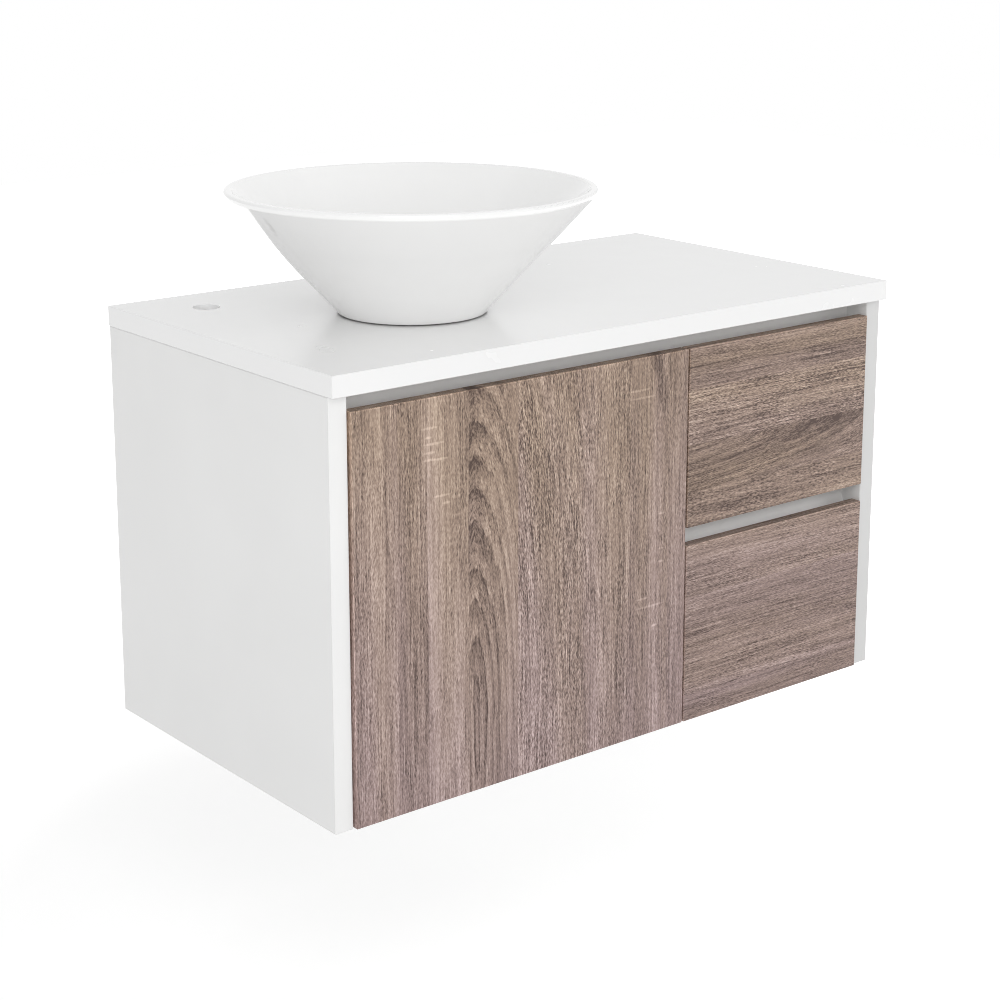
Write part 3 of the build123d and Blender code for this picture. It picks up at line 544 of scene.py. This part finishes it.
def front_material(name, across, along, warmth, ovals, boards, marks):
    """Oak for one front: its boards are steps across the grain, and marks lie on top of them."""
    made, graph, shader = new_material("oak_" + name.removesuffix("_front"))
    low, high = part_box(name)
    axes = graph.axes(graph.place())
    across_at, along_at = (graph.minus(axes[axis], low[axis]) for axis in (across, along))
    width = boards[-1][0]
    share = graph.math("DIVIDE", across_at, width)
    starts = [0.0] + [end / width for end, *_ in boards[:-1]]
    numbers = [(start, index / len(boards)) for index, start in enumerate(starts)]
    values = {
        "Board": graph.steps(share, *numbers),
        "Marks": mark_levels(graph, across_at, along_at, marks),
        "Warmth": graph.range(axes[2], low.z, high.z, *warmth),
        "Across": across_at,
        "Along": along_at,
        "Depth": axes[1],
        "Light": rgba(finishes().oak_light),
        "Middle": rgba(finishes().oak_middle),
        "Dark": rgba(finishes().oak_dark),
    }
    values |= dict(zip(OVAL_KEYS, ovals))
    for column, label in enumerate(BOARD_KEYS, 1):
        # A ramp holds values from 0 to 1, so those from -1 to 2 are packed into that span.
        stops = [(start, (board[column] + 1) / 3) for start, board in zip(starts, boards)]
        values[label] = graph.math("MULTIPLY_ADD", graph.steps(share, *stops), 3.0, -1.0)
    look = group_node(graph, "oak_decor", values)
    connect(graph, shader, look, 0.35, 0.0004)
    # The top faces are a painted shade, a little darker, and painted highlights run along the arrises at the
    # top and the left.
    upward = graph.axes(graph.node("TexCoord").outputs["Normal"])[2]
    # Painted shade: faces that look up are darker.
    painted_top_shade = graph.range(upward, 0.6, 0.8, 1.0, 0.85)
    # Painted highlight: a light line along the top and left arrises of the front faces.
    painted_top_highlight = graph.range(axes[2], high.z - 0.0015, high.z - 0.0010, 0.0, 0.6)
    painted_left_highlight = graph.range(axes[0], low.x + 0.0007, low.x + 0.0011, 0.35, 0.0)
    painted_arris_highlight = graph.times(graph.math("MAXIMUM", painted_top_highlight, painted_left_highlight), graph.range(upward, 0.6, 0.8, 1.0, 0.0))
    graph.feed(shader["Base Color"], graph.scale(look["Color"], graph.add(painted_top_shade, painted_arris_highlight)))
    return made


class VANITY_OT_fronts(bpy.types.Operator):
    """Oak fronts: upright grain on the door, level grain on the drawers"""

    bl_idname = "vanity.fronts"
    bl_label = "Oak fronts"

    def execute(self, context):
        for name, values in FRONTS.items():
            dress([name], front_material(name, *values))
        return {"FINISHED"}


# ---------------------------------------------------------------- stage


class VANITY_OT_stage(bpy.types.Operator):
    """Floor, surroundings, lamps and camera"""

    bl_idname = "vanity.stage"
    bl_label = "Stage"

    def execute(self, context):
        context.scene.view_settings.view_transform = "Standard"
        context.scene.cycles.filter_width = 1.0
        context.scene.cycles.blur_glossy = 8.0
        context.scene.cycles.sample_clamp_indirect = 3.0
        self.surroundings(context)
        self.floor()
        self.lamps(context)
        self.camera(context)
        return {"FINISHED"}

    def backdrop_rays(self, graph):
        """1 for rays that should see the white backdrop, 0 for those that light the object."""
        rays = graph.node("LightPath").outputs
        seen = (rays[f"Is {kind} Ray"] for kind in ("Camera", "Glossy", "Transmission"))
        return graph.fold("MAXIMUM", *seen)

    def surroundings(self, context):
        world = bpy.data.worlds.new("pale_studio")
        world.use_nodes = True
        context.scene.world = world
        graph = Graph(world.node_tree)
        shader = world.node_tree.nodes["Background"].inputs
        shader["Color"].default_value = (1.0, 1.0, 1.0, 1.0)
        graph.feed(shader["Strength"], graph.range(self.backdrop_rays(graph), 0.0, 1.0, stage().ambient, 1.0))

    def floor(self):
        bpy.ops.object.select_all(action="DESELECT")
        bpy.ops.mesh.primitive_plane_add(size=stage().floor_size, location=(0, 0, -stage().hanging_height))
        bpy.ops.object.transform_apply(location=True)
        floor = bpy.context.object
        floor.name = "studio_floor"
        made, graph, shader = new_material("studio_floor")
        shader["Base Color"].default_value = (0.9, 0.9, 0.9, 1.0)
        shader["Roughness"].default_value = 0.9
        shader["Emission Color"].default_value = (1.0, 1.0, 1.0, 1.0)
        glow = graph.range(graph.length(graph.place()), 0.8, 2.2, 0.28, 0.9)
        graph.feed(shader["Emission Strength"], graph.times(self.backdrop_rays(graph), glow))
        # From below, the floor doesn't hide the object.
        behind = graph.node("NewGeometry").outputs["Backfacing"]
        lit = made.node_tree.nodes["Principled BSDF"].outputs[0]
        clear = graph.node("BsdfTransparent").outputs[0]
        seen = graph.node("MixShader", {0: behind, 1: lit, 2: clear}).outputs[0]
        graph.feed(made.node_tree.nodes["Material Output"].inputs["Surface"], seen)
        floor.data.materials.append(made)

    def lamps(self, context):
        centre = (cad_low + cad_high) / 2
        for name, (place, size) in LAMPS.items():
            data = bpy.data.lights.new(f"{name}_softbox", "AREA")
            data.shape, data.size, data.energy = "DISK", size, getattr(stage(), f"{name}_power")
            lamp = bpy.data.objects.new(f"{name}_softbox", data)
            lamp.location = place
            lamp.rotation_euler = (Vector(place) - centre).to_track_quat("Z", "Y").to_euler()
            context.scene.collection.objects.link(lamp)

    def camera(self, context):
        data = bpy.data.cameras.new("camera")
        data.lens, data.shift_y = stage().lens, stage().shift
        camera = bpy.data.objects.new("camera", data)
        camera.location = CAMERA_PLACE
        yaw, pitch = math.radians(CAMERA_YAW), math.radians(CAMERA_PITCH)
        camera.rotation_euler = (math.pi / 2 - pitch, 0.0, -yaw)
        context.scene.collection.objects.link(camera)
        context.scene.camera = camera


# ---------------------------------------------------------------- shared finishes


def build_mottle_group():
    """Even finishes: slow drifts of tone and gloss, and a fine grain that catches the light."""
    inputs, outputs = ("Place", "Color", *EVEN_KEYS), ("Color", "Roughness", "Height")
    graph, given, out = new_group("even_finish", inputs, outputs)
    drift = graph.range(graph.noise(given["Place"], given["Drift Scale"], 3), 0.3, 0.7)
    level = graph.minus(1.0, graph.times(drift, given["Drift"]))
    graph.feed(out["Color"], graph.scale(given["Color"], level))
    gloss = graph.noise(given["Place"], graph.times(given["Drift Scale"], 3.7), 4)
    graph.feed(out["Roughness"], graph.add(given["Roughness"], graph.sway(gloss, given["Gloss Drift"])))
    graph.feed(out["Height"], graph.noise(given["Place"], given["Grain Scale"], 2))


def build_band_group():
    """The glue line of a board's edge band, just inside the board's own box."""
    graph, given, out = new_group("edge_band", ("Place", "Low", "High"), ("Mask",))
    inside = graph.vector("SUBTRACT", given["Place"], given["Low"])
    beyond = graph.vector("SUBTRACT", given["High"], given["Place"])
    nearest = graph.fold("MINIMUM", *graph.axes(graph.vector("MINIMUM", inside, beyond)))
    off = graph.math("ABSOLUTE", graph.minus(nearest, BAND_WALL))
    graph.feed(out["Mask"], graph.range(off, 0.00008, 0.00022, 1.0, 0.0))


def build_metal_group():
    """Drawn, rolled or plated metal: fine lines along one way, cloudy plating and dulled patches."""
    inputs, outputs = ("Place", "Color", *METAL_KEYS), ("Color", "Roughness", "Height")
    graph, given, out = new_group("worked_metal", inputs, outputs)
    lines = graph.noise(graph.vector("MULTIPLY", given["Place"], given["Lines"]), 1.0, 4)
    cloud = graph.noise(given["Place"], given["Cloud Scale"], 4)
    clouded = graph.times(graph.range(cloud, 0.3, 0.7), given["Cloud"])
    scored = graph.times(graph.range(lines, 0.35, 0.65, 1.0, 0.0), graph.times(given["Line Depth"], 0.4))
    graph.feed(out["Color"], graph.scale(given["Color"], graph.minus(1.0, graph.add(clouded, scored))))
    dull = graph.times(graph.minus(cloud, 0.4), 0.35)
    dull = graph.add(dull, graph.sway(lines, given["Line Depth"]))
    graph.feed(out["Roughness"], graph.math("ADD", given["Roughness"], dull, clamp=True))
    graph.feed(out["Height"], graph.times(lines, given["Line Depth"]))


def even_material(name, colour, finish=None):
    """Paint, glaze or plastic with its own row of the even finishes, or another's."""
    made, graph, shader = new_material(name)
    *values, grain = EVEN_FINISHES[finish or name]
    values = {"Place": graph.place(), "Color": rgba(colour)} | dict(zip(EVEN_KEYS, values))
    look = group_node(graph, "even_finish", values)
    connect(graph, shader, look, grain, 0.0001)
    return made, graph, shader, look


def metal_material(name):
    """Metal with its row of the worked metals."""
    _, graph, shader = new_material(name)
    base, level, *values = METALS[name]
    colour = [part * level for part in getattr(finishes(), base)]
    values = {"Place": graph.place(), "Color": rgba(colour)} | dict(zip(METAL_KEYS, values))
    connect(graph, shader, group_node(graph, "worked_metal", values), 0.25, 0.0001)
    shader["Metallic"].default_value = 1.0


class VANITY_OT_shared_finishes(bpy.types.Operator):
    """Node groups that several finishes use, and the metals"""

    bl_idname = "vanity.shared_finishes"
    bl_label = "Shared finishes"

    def execute(self, context):
        build_mottle_group()
        build_band_group()
        build_metal_group()
        build_oak_group()
        for name in METALS:
            metal_material(name)
        return {"FINISHED"}


class VANITY_OT_boards(bpy.types.Operator):
    """White melamine boards of the carcass, the shelf and the drawer boxes, each with its edge bands"""

    bl_idname = "vanity.boards"
    bl_label = "White boards"

    def execute(self, context):
        for axis, (carcass, box) in enumerate(zip(CARCASS_BOARDS, DRAWER_BOARDS)):
            for name in carcass:
                self.board(name, axis, 1.0)
            for drawer in DRAWERS:
                for part in box:
                    self.board(f"{drawer}_drawer_{part}", axis, DRAWER_LEVEL)
        return {"FINISHED"}

    def board(self, name, thickness, level):
        colour = [part * level for part in finishes().board]
        made, graph, shader, look = even_material(f"melamine_{name}", colour, "melamine")
        low, high = (Vector(corner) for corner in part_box(name))
        # A board's two faces carry no band.
        low[thickness], high[thickness] = -FAR, FAR
        place = graph.place()
        line = group_node(graph, "edge_band", {"Place": place, "Low": low, "High": high})["Mask"]
        tone = graph.mix(graph.times(line, 0.55), look["Color"], BEHIND_BAND)
        if name == "right_side_panel":
            # Its front edge is darker, down to 0.76 of its tone.
            band = graph.range(graph.axes(place)[1], low.y + 0.0003, low.y + 0.0010, 0.76, 1.0)
            tone = graph.scale(tone, band)
        graph.feed(shader["Base Color"], tone)
        height = graph.minus(graph.times(look["Height"], 0.35), line)
        graph.feed(shader["Normal"], graph.bump(height, 0.12, 0.0002))
        dress([name], made)


class VANITY_OT_bench(bpy.types.Operator):
    """Lacquered benchtop with a soft gloss"""

    bl_idname = "vanity.bench"
    bl_label = "Benchtop"

    def execute(self, context):
        made, graph, shader, look = even_material("bench_lacquer", finishes().bench)
        shader["Coat Weight"].default_value = 0.35
        shader["Coat Roughness"].default_value = 0.10
        # The tap hole's wall is painted light: a whiter colour lifts the shade inside the hole.
        off = graph.vector("SUBTRACT", graph.place(), TAP_HOLE)
        away = graph.length(graph.vector("MULTIPLY", off, (1.0, 1.0, 0.0)))
        bore_painted_light = graph.range(away, 0.0180, 0.0186, 1.0, 0.0)
        graph.feed(shader["Base Color"], graph.mix(bore_painted_light, look["Color"], BORE_PAINTED_LIGHT))
        dress(["benchtop"], made)
        return {"FINISHED"}


class VANITY_OT_basin(bpy.types.Operator):
    """Glazed basin whose foot ring is bare clay, with a painted contact shadow at its outer side and glaze
    painted lighter near the foot
    """

    bl_idname = "vanity.basin"
    bl_label = "Basin"

    def execute(self, context):
        made, graph, shader, look = even_material("white_glaze", finishes().glaze)
        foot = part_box("basin")[0].z
        place = graph.place()
        height = graph.axes(place)[2]
        ragged = graph.sway(graph.noise(place, 160.0, 3), 0.0008)
        bare = graph.range(graph.add(height, ragged), foot + 0.0014, foot + 0.0018, 1.0, 0.0)
        clay = graph.mix(graph.noise(place, 1500.0, 2), *BARE_CLAY)
        # A painted contact shadow darkens the foot ring's side above its underside.
        clay = graph.mix(graph.range(height, foot + 0.0002, foot + 0.0004, 0.0, 0.9), clay, PAINTED_CONTACT_SHADOW)
        up = graph.minus(height, foot)
        # Painted light: the glaze is lighter near the foot and low on the bowl, standing in for light from
        # the bench below.
        painted_light_by_height = graph.curve(up, (0.0, 1.0), (0.04, 1.0), (0.095, 0.4), (0.15, 0.5), (1.0, 0.5))
        glaze = graph.scale(look["Color"], graph.range(painted_light_by_height, 0.0, 1.0, 0.93, 1.05))
        graph.feed(shader["Base Color"], graph.mix(bare, glaze, clay))
        graph.feed(shader["Roughness"], graph.blend(bare, look["Roughness"], 0.85))
        graph.feed(shader["Coat Weight"], graph.blend(bare, 0.8, 0.0))
        shader["Coat Roughness"].default_value = 0.03
        dress(["basin"], made)
        return {"FINISHED"}


class VANITY_OT_finger_pulls(bpy.types.Operator):
    """Powder-coated finger-pull profiles and the moulded clips that hold them"""

    bl_idname = "vanity.finger_pulls"
    bl_label = "Finger pulls"

    def execute(self, context):
        white = finishes().profile
        for name, (low, high, painted_shade_level) in PULLS.items():
            made, graph, shader, look = even_material(f"powder_coat_{name}", white, "powder_coat")
            # The coat is painted light at the lower height and painted shade at the upper one.
            level = graph.range(graph.axes(graph.place())[2], low, high, PULL_PAINTED_LIGHT, painted_shade_level)
            graph.feed(shader["Base Color"], graph.scale(look["Color"], level))
            dress([f"{name}_finger_profile"], made)
        dress(["profile_clips"], even_material("clip_plastic", finishes().plastic)[0])
        return {"FINISHED"}


class VANITY_OT_hardware(bpy.types.Operator):
    """Slides, hinges, shelf pins and bumpers"""

    bl_idname = "vanity.hardware"
    bl_label = "Slides and hinges"

    def execute(self, context):
        metals = bpy.data.materials
        for drawer in DRAWERS:
            members = [f"{drawer}_slide_{part}_members" for part in ("cabinet", "middle", "drawer")]
            dress(members, metals["zinc_plate"])
            dress([f"{drawer}_slide_{ring}_cages" for ring in ("outer", "inner")], metals["greased_steel"])
        dress(["hinge_cups", "hinge_arms", "hinge_plates", "shelf_pins"], metals["nickel_plate"])
        dress(["hinge_pins"], metals["screw_zinc"])
        bumper, _, shader, _ = even_material("bumper_plastic", (0.86, 0.87, 0.88))
        shader["Transmission Weight"].default_value = 0.6
        shader["IOR"].default_value = 1.46
        dress(["door_bumpers"], bumper)
        return {"FINISHED"}


class VANITY_OT_drain(bpy.types.Operator):
    """Waste, plug, seals and bottle trap"""

    bl_idname = "vanity.drain"
    bl_label = "Waste and trap"

    def execute(self, context):
        dress(["waste_body", "plug"], bpy.data.materials["polished_chrome"])
        dress(["waste_nut", "click_cartridge"], bpy.data.materials["cast_brass"])
        rubber = even_material("black_rubber", (0.028, 0.028, 0.030))[0]
        dress(["waste_seal", "waste_washer", "plug_seal", "trap_seal", "trap_neck_seal"], rubber)
        moulded = ["trap_coupling_nut", "trap_neck_nut", "trap_body", "trap_cup", "outlet_nut"]
        moulded += ["trap_inlet_tube", "outlet_pipe", "wall_flange"]
        dress(moulded, even_material("trap_plastic", finishes().plastic)[0])
        return {"FINISHED"}


# ---------------------------------------------------------------- small pieces


def only(piece):
    """Selects one piece and makes it active."""
    bpy.ops.object.select_all(action="DESELECT")
    piece.select_set(True)
    bpy.context.view_layer.objects.active = piece


def edit_parts(piece, test, kind="FACE"):
    """Enters edit mode with the faces, or the vertices, that pass a test selected."""
    only(piece)
    bpy.ops.object.mode_set(mode="EDIT")
    bpy.ops.mesh.select_mode(type=kind)
    bpy.ops.mesh.select_all(action="DESELECT")
    mesh = bmesh.from_edit_mesh(piece.data)
    for part in mesh.faces if kind == "FACE" else mesh.verts:
        part.select_set(test(part))
    bmesh.update_edit_mesh(piece.data)


def leave_edit():
    bpy.ops.object.mode_set(mode="OBJECT")


def cut(piece, cutter):
    """Cuts one piece out of another and removes it."""
    only(piece)
    change = piece.modifiers.new("cut", "BOOLEAN")
    change.operation, change.object, change.solver = "DIFFERENCE", cutter, "EXACT"
    bpy.ops.object.modifier_apply(modifier=change.name)
    bpy.data.objects.remove(cutter)


def smooth(piece):
    """Shades a piece smooth, with sharp corners left sharp."""
    only(piece)
    bpy.ops.object.shade_smooth_by_angle(angle=SMOOTH_ANGLE)


def model_screw(name):
    """Cross-recessed screw along Z with its seat at the origin, by its row of sizes."""
    head_radius, head_height, shank_radius, dome = SCREWS[name]
    bpy.ops.object.select_all(action="DESELECT")
    depth = abs(head_height)
    bpy.ops.mesh.primitive_cylinder_add(
        vertices=SCREW_SIDES, radius=head_radius, depth=depth, location=(0, 0, head_height / 2)
    )
    screw = bpy.context.object
    screw.name = name
    bpy.ops.object.transform_apply(location=True)
    edit_parts(screw, lambda face: face.normal.z < -0.9)
    if head_height > 0:
        bpy.ops.mesh.inset(thickness=head_radius - shank_radius)
    else:
        share = shank_radius / head_radius
        bpy.ops.transform.resize(value=(share, share, 1.0))
    bpy.ops.mesh.extrude_region_move(TRANSFORM_OT_translate={"value": (0, 0, -SCREW_NECK)})
    leave_edit()
    edit_parts(screw, lambda face: face.normal.z > 0.9)
    for inset, rise in ((0.22, 0.75), (0.3, 0.25)):
        bpy.ops.mesh.inset(thickness=head_radius * inset)
        bpy.ops.transform.translate(value=(0, 0, dome * rise))
    leave_edit()
    # Two tapered blades cut the cross recess.
    for turn in (0.0, math.pi / 2):
        top = max(head_height, 0.0) + dome
        bpy.ops.mesh.primitive_cube_add(size=1.0, location=(0, 0, top), rotation=(0, 0, turn))
        blade = bpy.context.object
        blade.scale = (head_radius * 1.15, head_radius * 0.24, depth * 1.3)
        bpy.ops.object.transform_apply(location=True, rotation=True, scale=True)
        edit_parts(blade, lambda face: face.normal.z < -0.9)
        bpy.ops.transform.resize(value=(0.55, 0.55, 1.0))
        leave_edit()
        cut(screw, blade)
    smooth(screw)
    return screw


def set_out(model, name, places, body, material):
    """Copies a model to (point, facing) places, joins the copies in one piece and finishes it."""
    copies = []
    for number, (point, facing) in enumerate(places):
        copy = model.copy()
        copy.data = model.data.copy()
        bpy.context.scene.collection.objects.link(copy)
        spin = Matrix.Rotation(SCREW_TURN * number, 4, "Z")
        turn = Vector(facing).to_track_quat("Z", "X").to_matrix().to_4x4()
        copy.data.transform(Matrix.Translation(point) @ turn @ spin)
        copies.append(copy)
    bpy.ops.object.select_all(action="DESELECT")
    for copy in copies:
        copy.select_set(True)
    piece = bpy.context.view_layer.objects.active = copies[0]
    bpy.ops.object.join()
    finish_piece(piece, name, body, material)


def finish_piece(piece, name, body, material):
    """Names a piece, gives it its finish and sets it to ride on a body."""
    piece.name = piece.data.name = name
    piece.data.materials.clear()
    piece.data.materials.append(bpy.data.materials[material])
    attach(piece, body)


class VANITY_OT_hinge_screws(bpy.types.Operator):
    """Screws of the hinges' cups, arms and plates"""

    bl_idname = "vanity.hinge_screws"
    bl_label = "Hinge screws"

    def execute(self, context):
        size = hardware()
        low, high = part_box("hinge_plates")
        half = size.plate_height / 2
        heights = (low.z + half, high.z - half)
        screw = model_screw("hinge_screw")
        x, y = low.x + size.plate_wall, (low.y + high.y) / 2
        places = [((x, y, z + side * size.plate_screw_reach), (1, 0, 0)) for z in heights for side in (-1, 1)]
        set_out(screw, "hinge_plate_screws", places, "cabinet", "nickel_plate")
        tail = low.x + size.arm_standoff + size.arm_wall / 2
        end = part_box("hinge_arms")[1].y
        insets = (size.arm_screw_inset, size.arm_screw_inset + size.arm_screw_pitch)
        places = [((tail, end - inset, z), (1, 0, 0)) for z in heights for inset in insets]
        set_out(screw, "hinge_arm_screws", places, "cabinet", "nickel_plate")
        bpy.data.objects.remove(screw)
        low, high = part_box("hinge_cups")
        screw = model_screw("cup_screw")
        half = (heights[0] - low.z) - size.cup_screw_inset
        x, y = low.x + size.cup_radius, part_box("door_front")[1].y + size.cup_flange
        places = [((x, y, z + side * half), (0, 1, 0)) for z in heights for side in (-1, 1)]
        set_out(screw, "hinge_cup_screws", places, "door", "nickel_plate")
        bpy.data.objects.remove(screw)
        return {"FINISHED"}


class VANITY_OT_slide_screws(bpy.types.Operator):
    """Countersunk screws of the slides, one in each hole of the cabinet and drawer members"""

    bl_idname = "vanity.slide_screws"
    bl_label = "Slide screws"

    def execute(self, context):
        steel = hardware().slide_steel
        screw = model_screw("slide_screw")
        for drawer in DRAWERS:
            for part, body, holes, hand in (
                ("cabinet", "cabinet", CABINET_HOLES, 1),
                ("drawer", f"{drawer}_drawer", DRAWER_HOLES, -1),
            ):
                low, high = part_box(f"{drawer}_slide_{part}_members")
                z = (low.z + high.z) / 2
                faces = ((low.x + steel, hand), (high.x - steel, -hand))
                places = [((x, low.y + y, z), (way, 0, 0)) for x, way in faces for y in holes]
                set_out(screw, f"{drawer}_slide_{part}_screws", places, body, "screw_zinc")
        bpy.data.objects.remove(screw)
        return {"FINISHED"}


class VANITY_OT_board_screws(bpy.types.Operator):
    """Screws of the profile clips, of the rail under the bench and of the drawer bottoms"""

    bl_idname = "vanity.board_screws"
    bl_label = "Board screws"

    def execute(self, context):
        screw = model_screw("board_screw")
        self.clips(screw)
        low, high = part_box("front_top_rail")
        y, reach = (low.y + high.y) / 2, (high.x - low.x) / 2
        places = [((reach * share, y, low.z), (0, 0, -1)) for share in RAIL_SCREWS]
        set_out(screw, "bench_rail_screws", places, "cabinet", "screw_zinc")
        for drawer in DRAWERS:
            low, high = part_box(f"{drawer}_drawer_bottom")
            xs = [low.x + (high.x - low.x) * share for share in BOTTOM_SCREWS]
            places = [((x, high.y - BOTTOM_SCREW_INSET, low.z), (0, 0, -1)) for x in xs]
            name, body = f"{drawer}_drawer_bottom_screws", f"{drawer}_drawer"
            set_out(screw, name, places, body, "screw_zinc")
        bpy.data.objects.remove(screw)
        return {"FINISHED"}

    def clips(self, screw):
        """Two screws through each clip's plate into its board, above and below the rib."""
        low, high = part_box("profile_clips")
        left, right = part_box("divider_panel")[0].x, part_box("divider_panel")[1].x
        top = [(low.x, 1), (left, -1), (right, 1), (high.x, -1)]
        rows = [(x, hand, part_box("front_top_rail")[0].y, high.z - CLIP_HEIGHT) for x, hand in top]
        rows += [(x, hand, low.y, low.z) for x, hand in top[2:]]
        places = []
        for x, hand, y, z in rows:
            for up in CLIP_SCREW_HEIGHTS:
                places.append(((x + hand * CLIP_WALL, y + CLIP_SCREW_DEPTH, z + up), (hand, 0, 0)))
        set_out(screw, "profile_clip_screws", places, "cabinet", "screw_zinc")


class VANITY_OT_threads(bpy.types.Operator):
    """Screw thread on the waste's tail, where it shows between the nuts"""

    bl_idname = "vanity.threads"
    bl_label = "Waste thread"

    def execute(self, context):
        centre = (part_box("waste_body")[0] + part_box("waste_body")[1]) / 2
        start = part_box("trap_coupling_nut")[1].z + THREAD_GAP
        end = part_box("waste_nut")[0].z - THREAD_GAP
        thread = self.helix(end - start)
        thread.data.transform(Matrix.Translation((centre.x, centre.y, start)))
        finish_piece(thread, "waste_thread", "cabinet", "polished_chrome")
        return {"FINISHED"}

    def helix(self, length):
        """One ridge wound about Z from the ground up, closed at both ends."""
        bpy.ops.object.select_all(action="DESELECT")
        bpy.ops.mesh.primitive_plane_add(size=1.0, location=(0, 0, 0), rotation=(math.pi / 2, 0, 0))
        ridge = bpy.context.object
        ridge.scale = (THREAD_DEPTH * 2, THREAD_PITCH * 0.9, 1.0)
        ridge.location = (THREAD_RADIUS, 0, THREAD_PITCH / 2)
        bpy.ops.object.transform_apply(location=True, rotation=True, scale=True)
        edit_parts(ridge, lambda vert: vert.co.x > THREAD_RADIUS, "VERT")
        bpy.ops.transform.resize(value=(1.0, 1.0, 0.25))
        bpy.ops.mesh.select_all(action="SELECT")
        bpy.ops.mesh.delete(type="ONLY_FACE")
        leave_edit()
        change = ridge.modifiers.new("wind", "SCREW")
        change.axis, change.angle, change.screw_offset = "Z", 2 * math.pi, THREAD_PITCH
        change.iterations = int((length - THREAD_PITCH) / THREAD_PITCH)
        change.steps = change.render_steps = THREAD_STEPS
        change.use_smooth_shade = True
        bpy.ops.object.modifier_apply(modifier=change.name)
        bpy.ops.object.mode_set(mode="EDIT")
        bpy.ops.mesh.select_mode(type="EDGE")
        bpy.ops.mesh.select_all(action="DESELECT")
        bpy.ops.mesh.select_non_manifold()
        bpy.ops.mesh.fill_holes(sides=8)
        bpy.ops.mesh.select_all(action="SELECT")
        bpy.ops.mesh.normals_make_consistent(inside=False)
        leave_edit()
        smooth(ridge)
        return ridge


class VANITY_PT_vanity(bpy.types.Panel):
    """Lists the finishes, the sizes and every step, in the order they are run"""

    bl_idname = "VANITY_PT_vanity"
    bl_label = "Vessel Basin Vanity"
    bl_space_type = "VIEW_3D"
    bl_region_type = "UI"
    bl_category = "Vanity"

    def draw(self, context):
        for group in (finishes(), hardware(), stage()):
            box = self.layout.box()
            for key in group.__annotations__:
                box.prop(group, key)
        for step in STEPS:
            self.layout.operator(step.bl_idname)


STEPS = (
    VANITY_OT_stage,
    VANITY_OT_shared_finishes,
    VANITY_OT_boards,
    VANITY_OT_bench,
    VANITY_OT_basin,
    VANITY_OT_finger_pulls,
    VANITY_OT_fronts,
    VANITY_OT_hardware,
    VANITY_OT_drain,
    VANITY_OT_hinge_screws,
    VANITY_OT_slide_screws,
    VANITY_OT_board_screws,
    VANITY_OT_threads,
)
CLASSES = (VanityFinishes, VanityHardware, VanityStage, *STEPS, VANITY_PT_vanity)


def register():
    for made in CLASSES:
        bpy.utils.register_class(made)
    bpy.types.Scene.vanity_finishes = PointerProperty(type=VanityFinishes)
    bpy.types.Scene.vanity_hardware = PointerProperty(type=VanityHardware)
    bpy.types.Scene.vanity_stage = PointerProperty(type=VanityStage)


def unregister():
    del bpy.types.Scene.vanity_stage
    del bpy.types.Scene.vanity_hardware
    del bpy.types.Scene.vanity_finishes
    for made in reversed(CLASSES):
        bpy.utils.unregister_class(made)


def main():
    register()
    for step in STEPS:
        group, name = step.bl_idname.split(".")
        getattr(getattr(bpy.ops, group), name)()


if __name__ == "__main__":
    main()
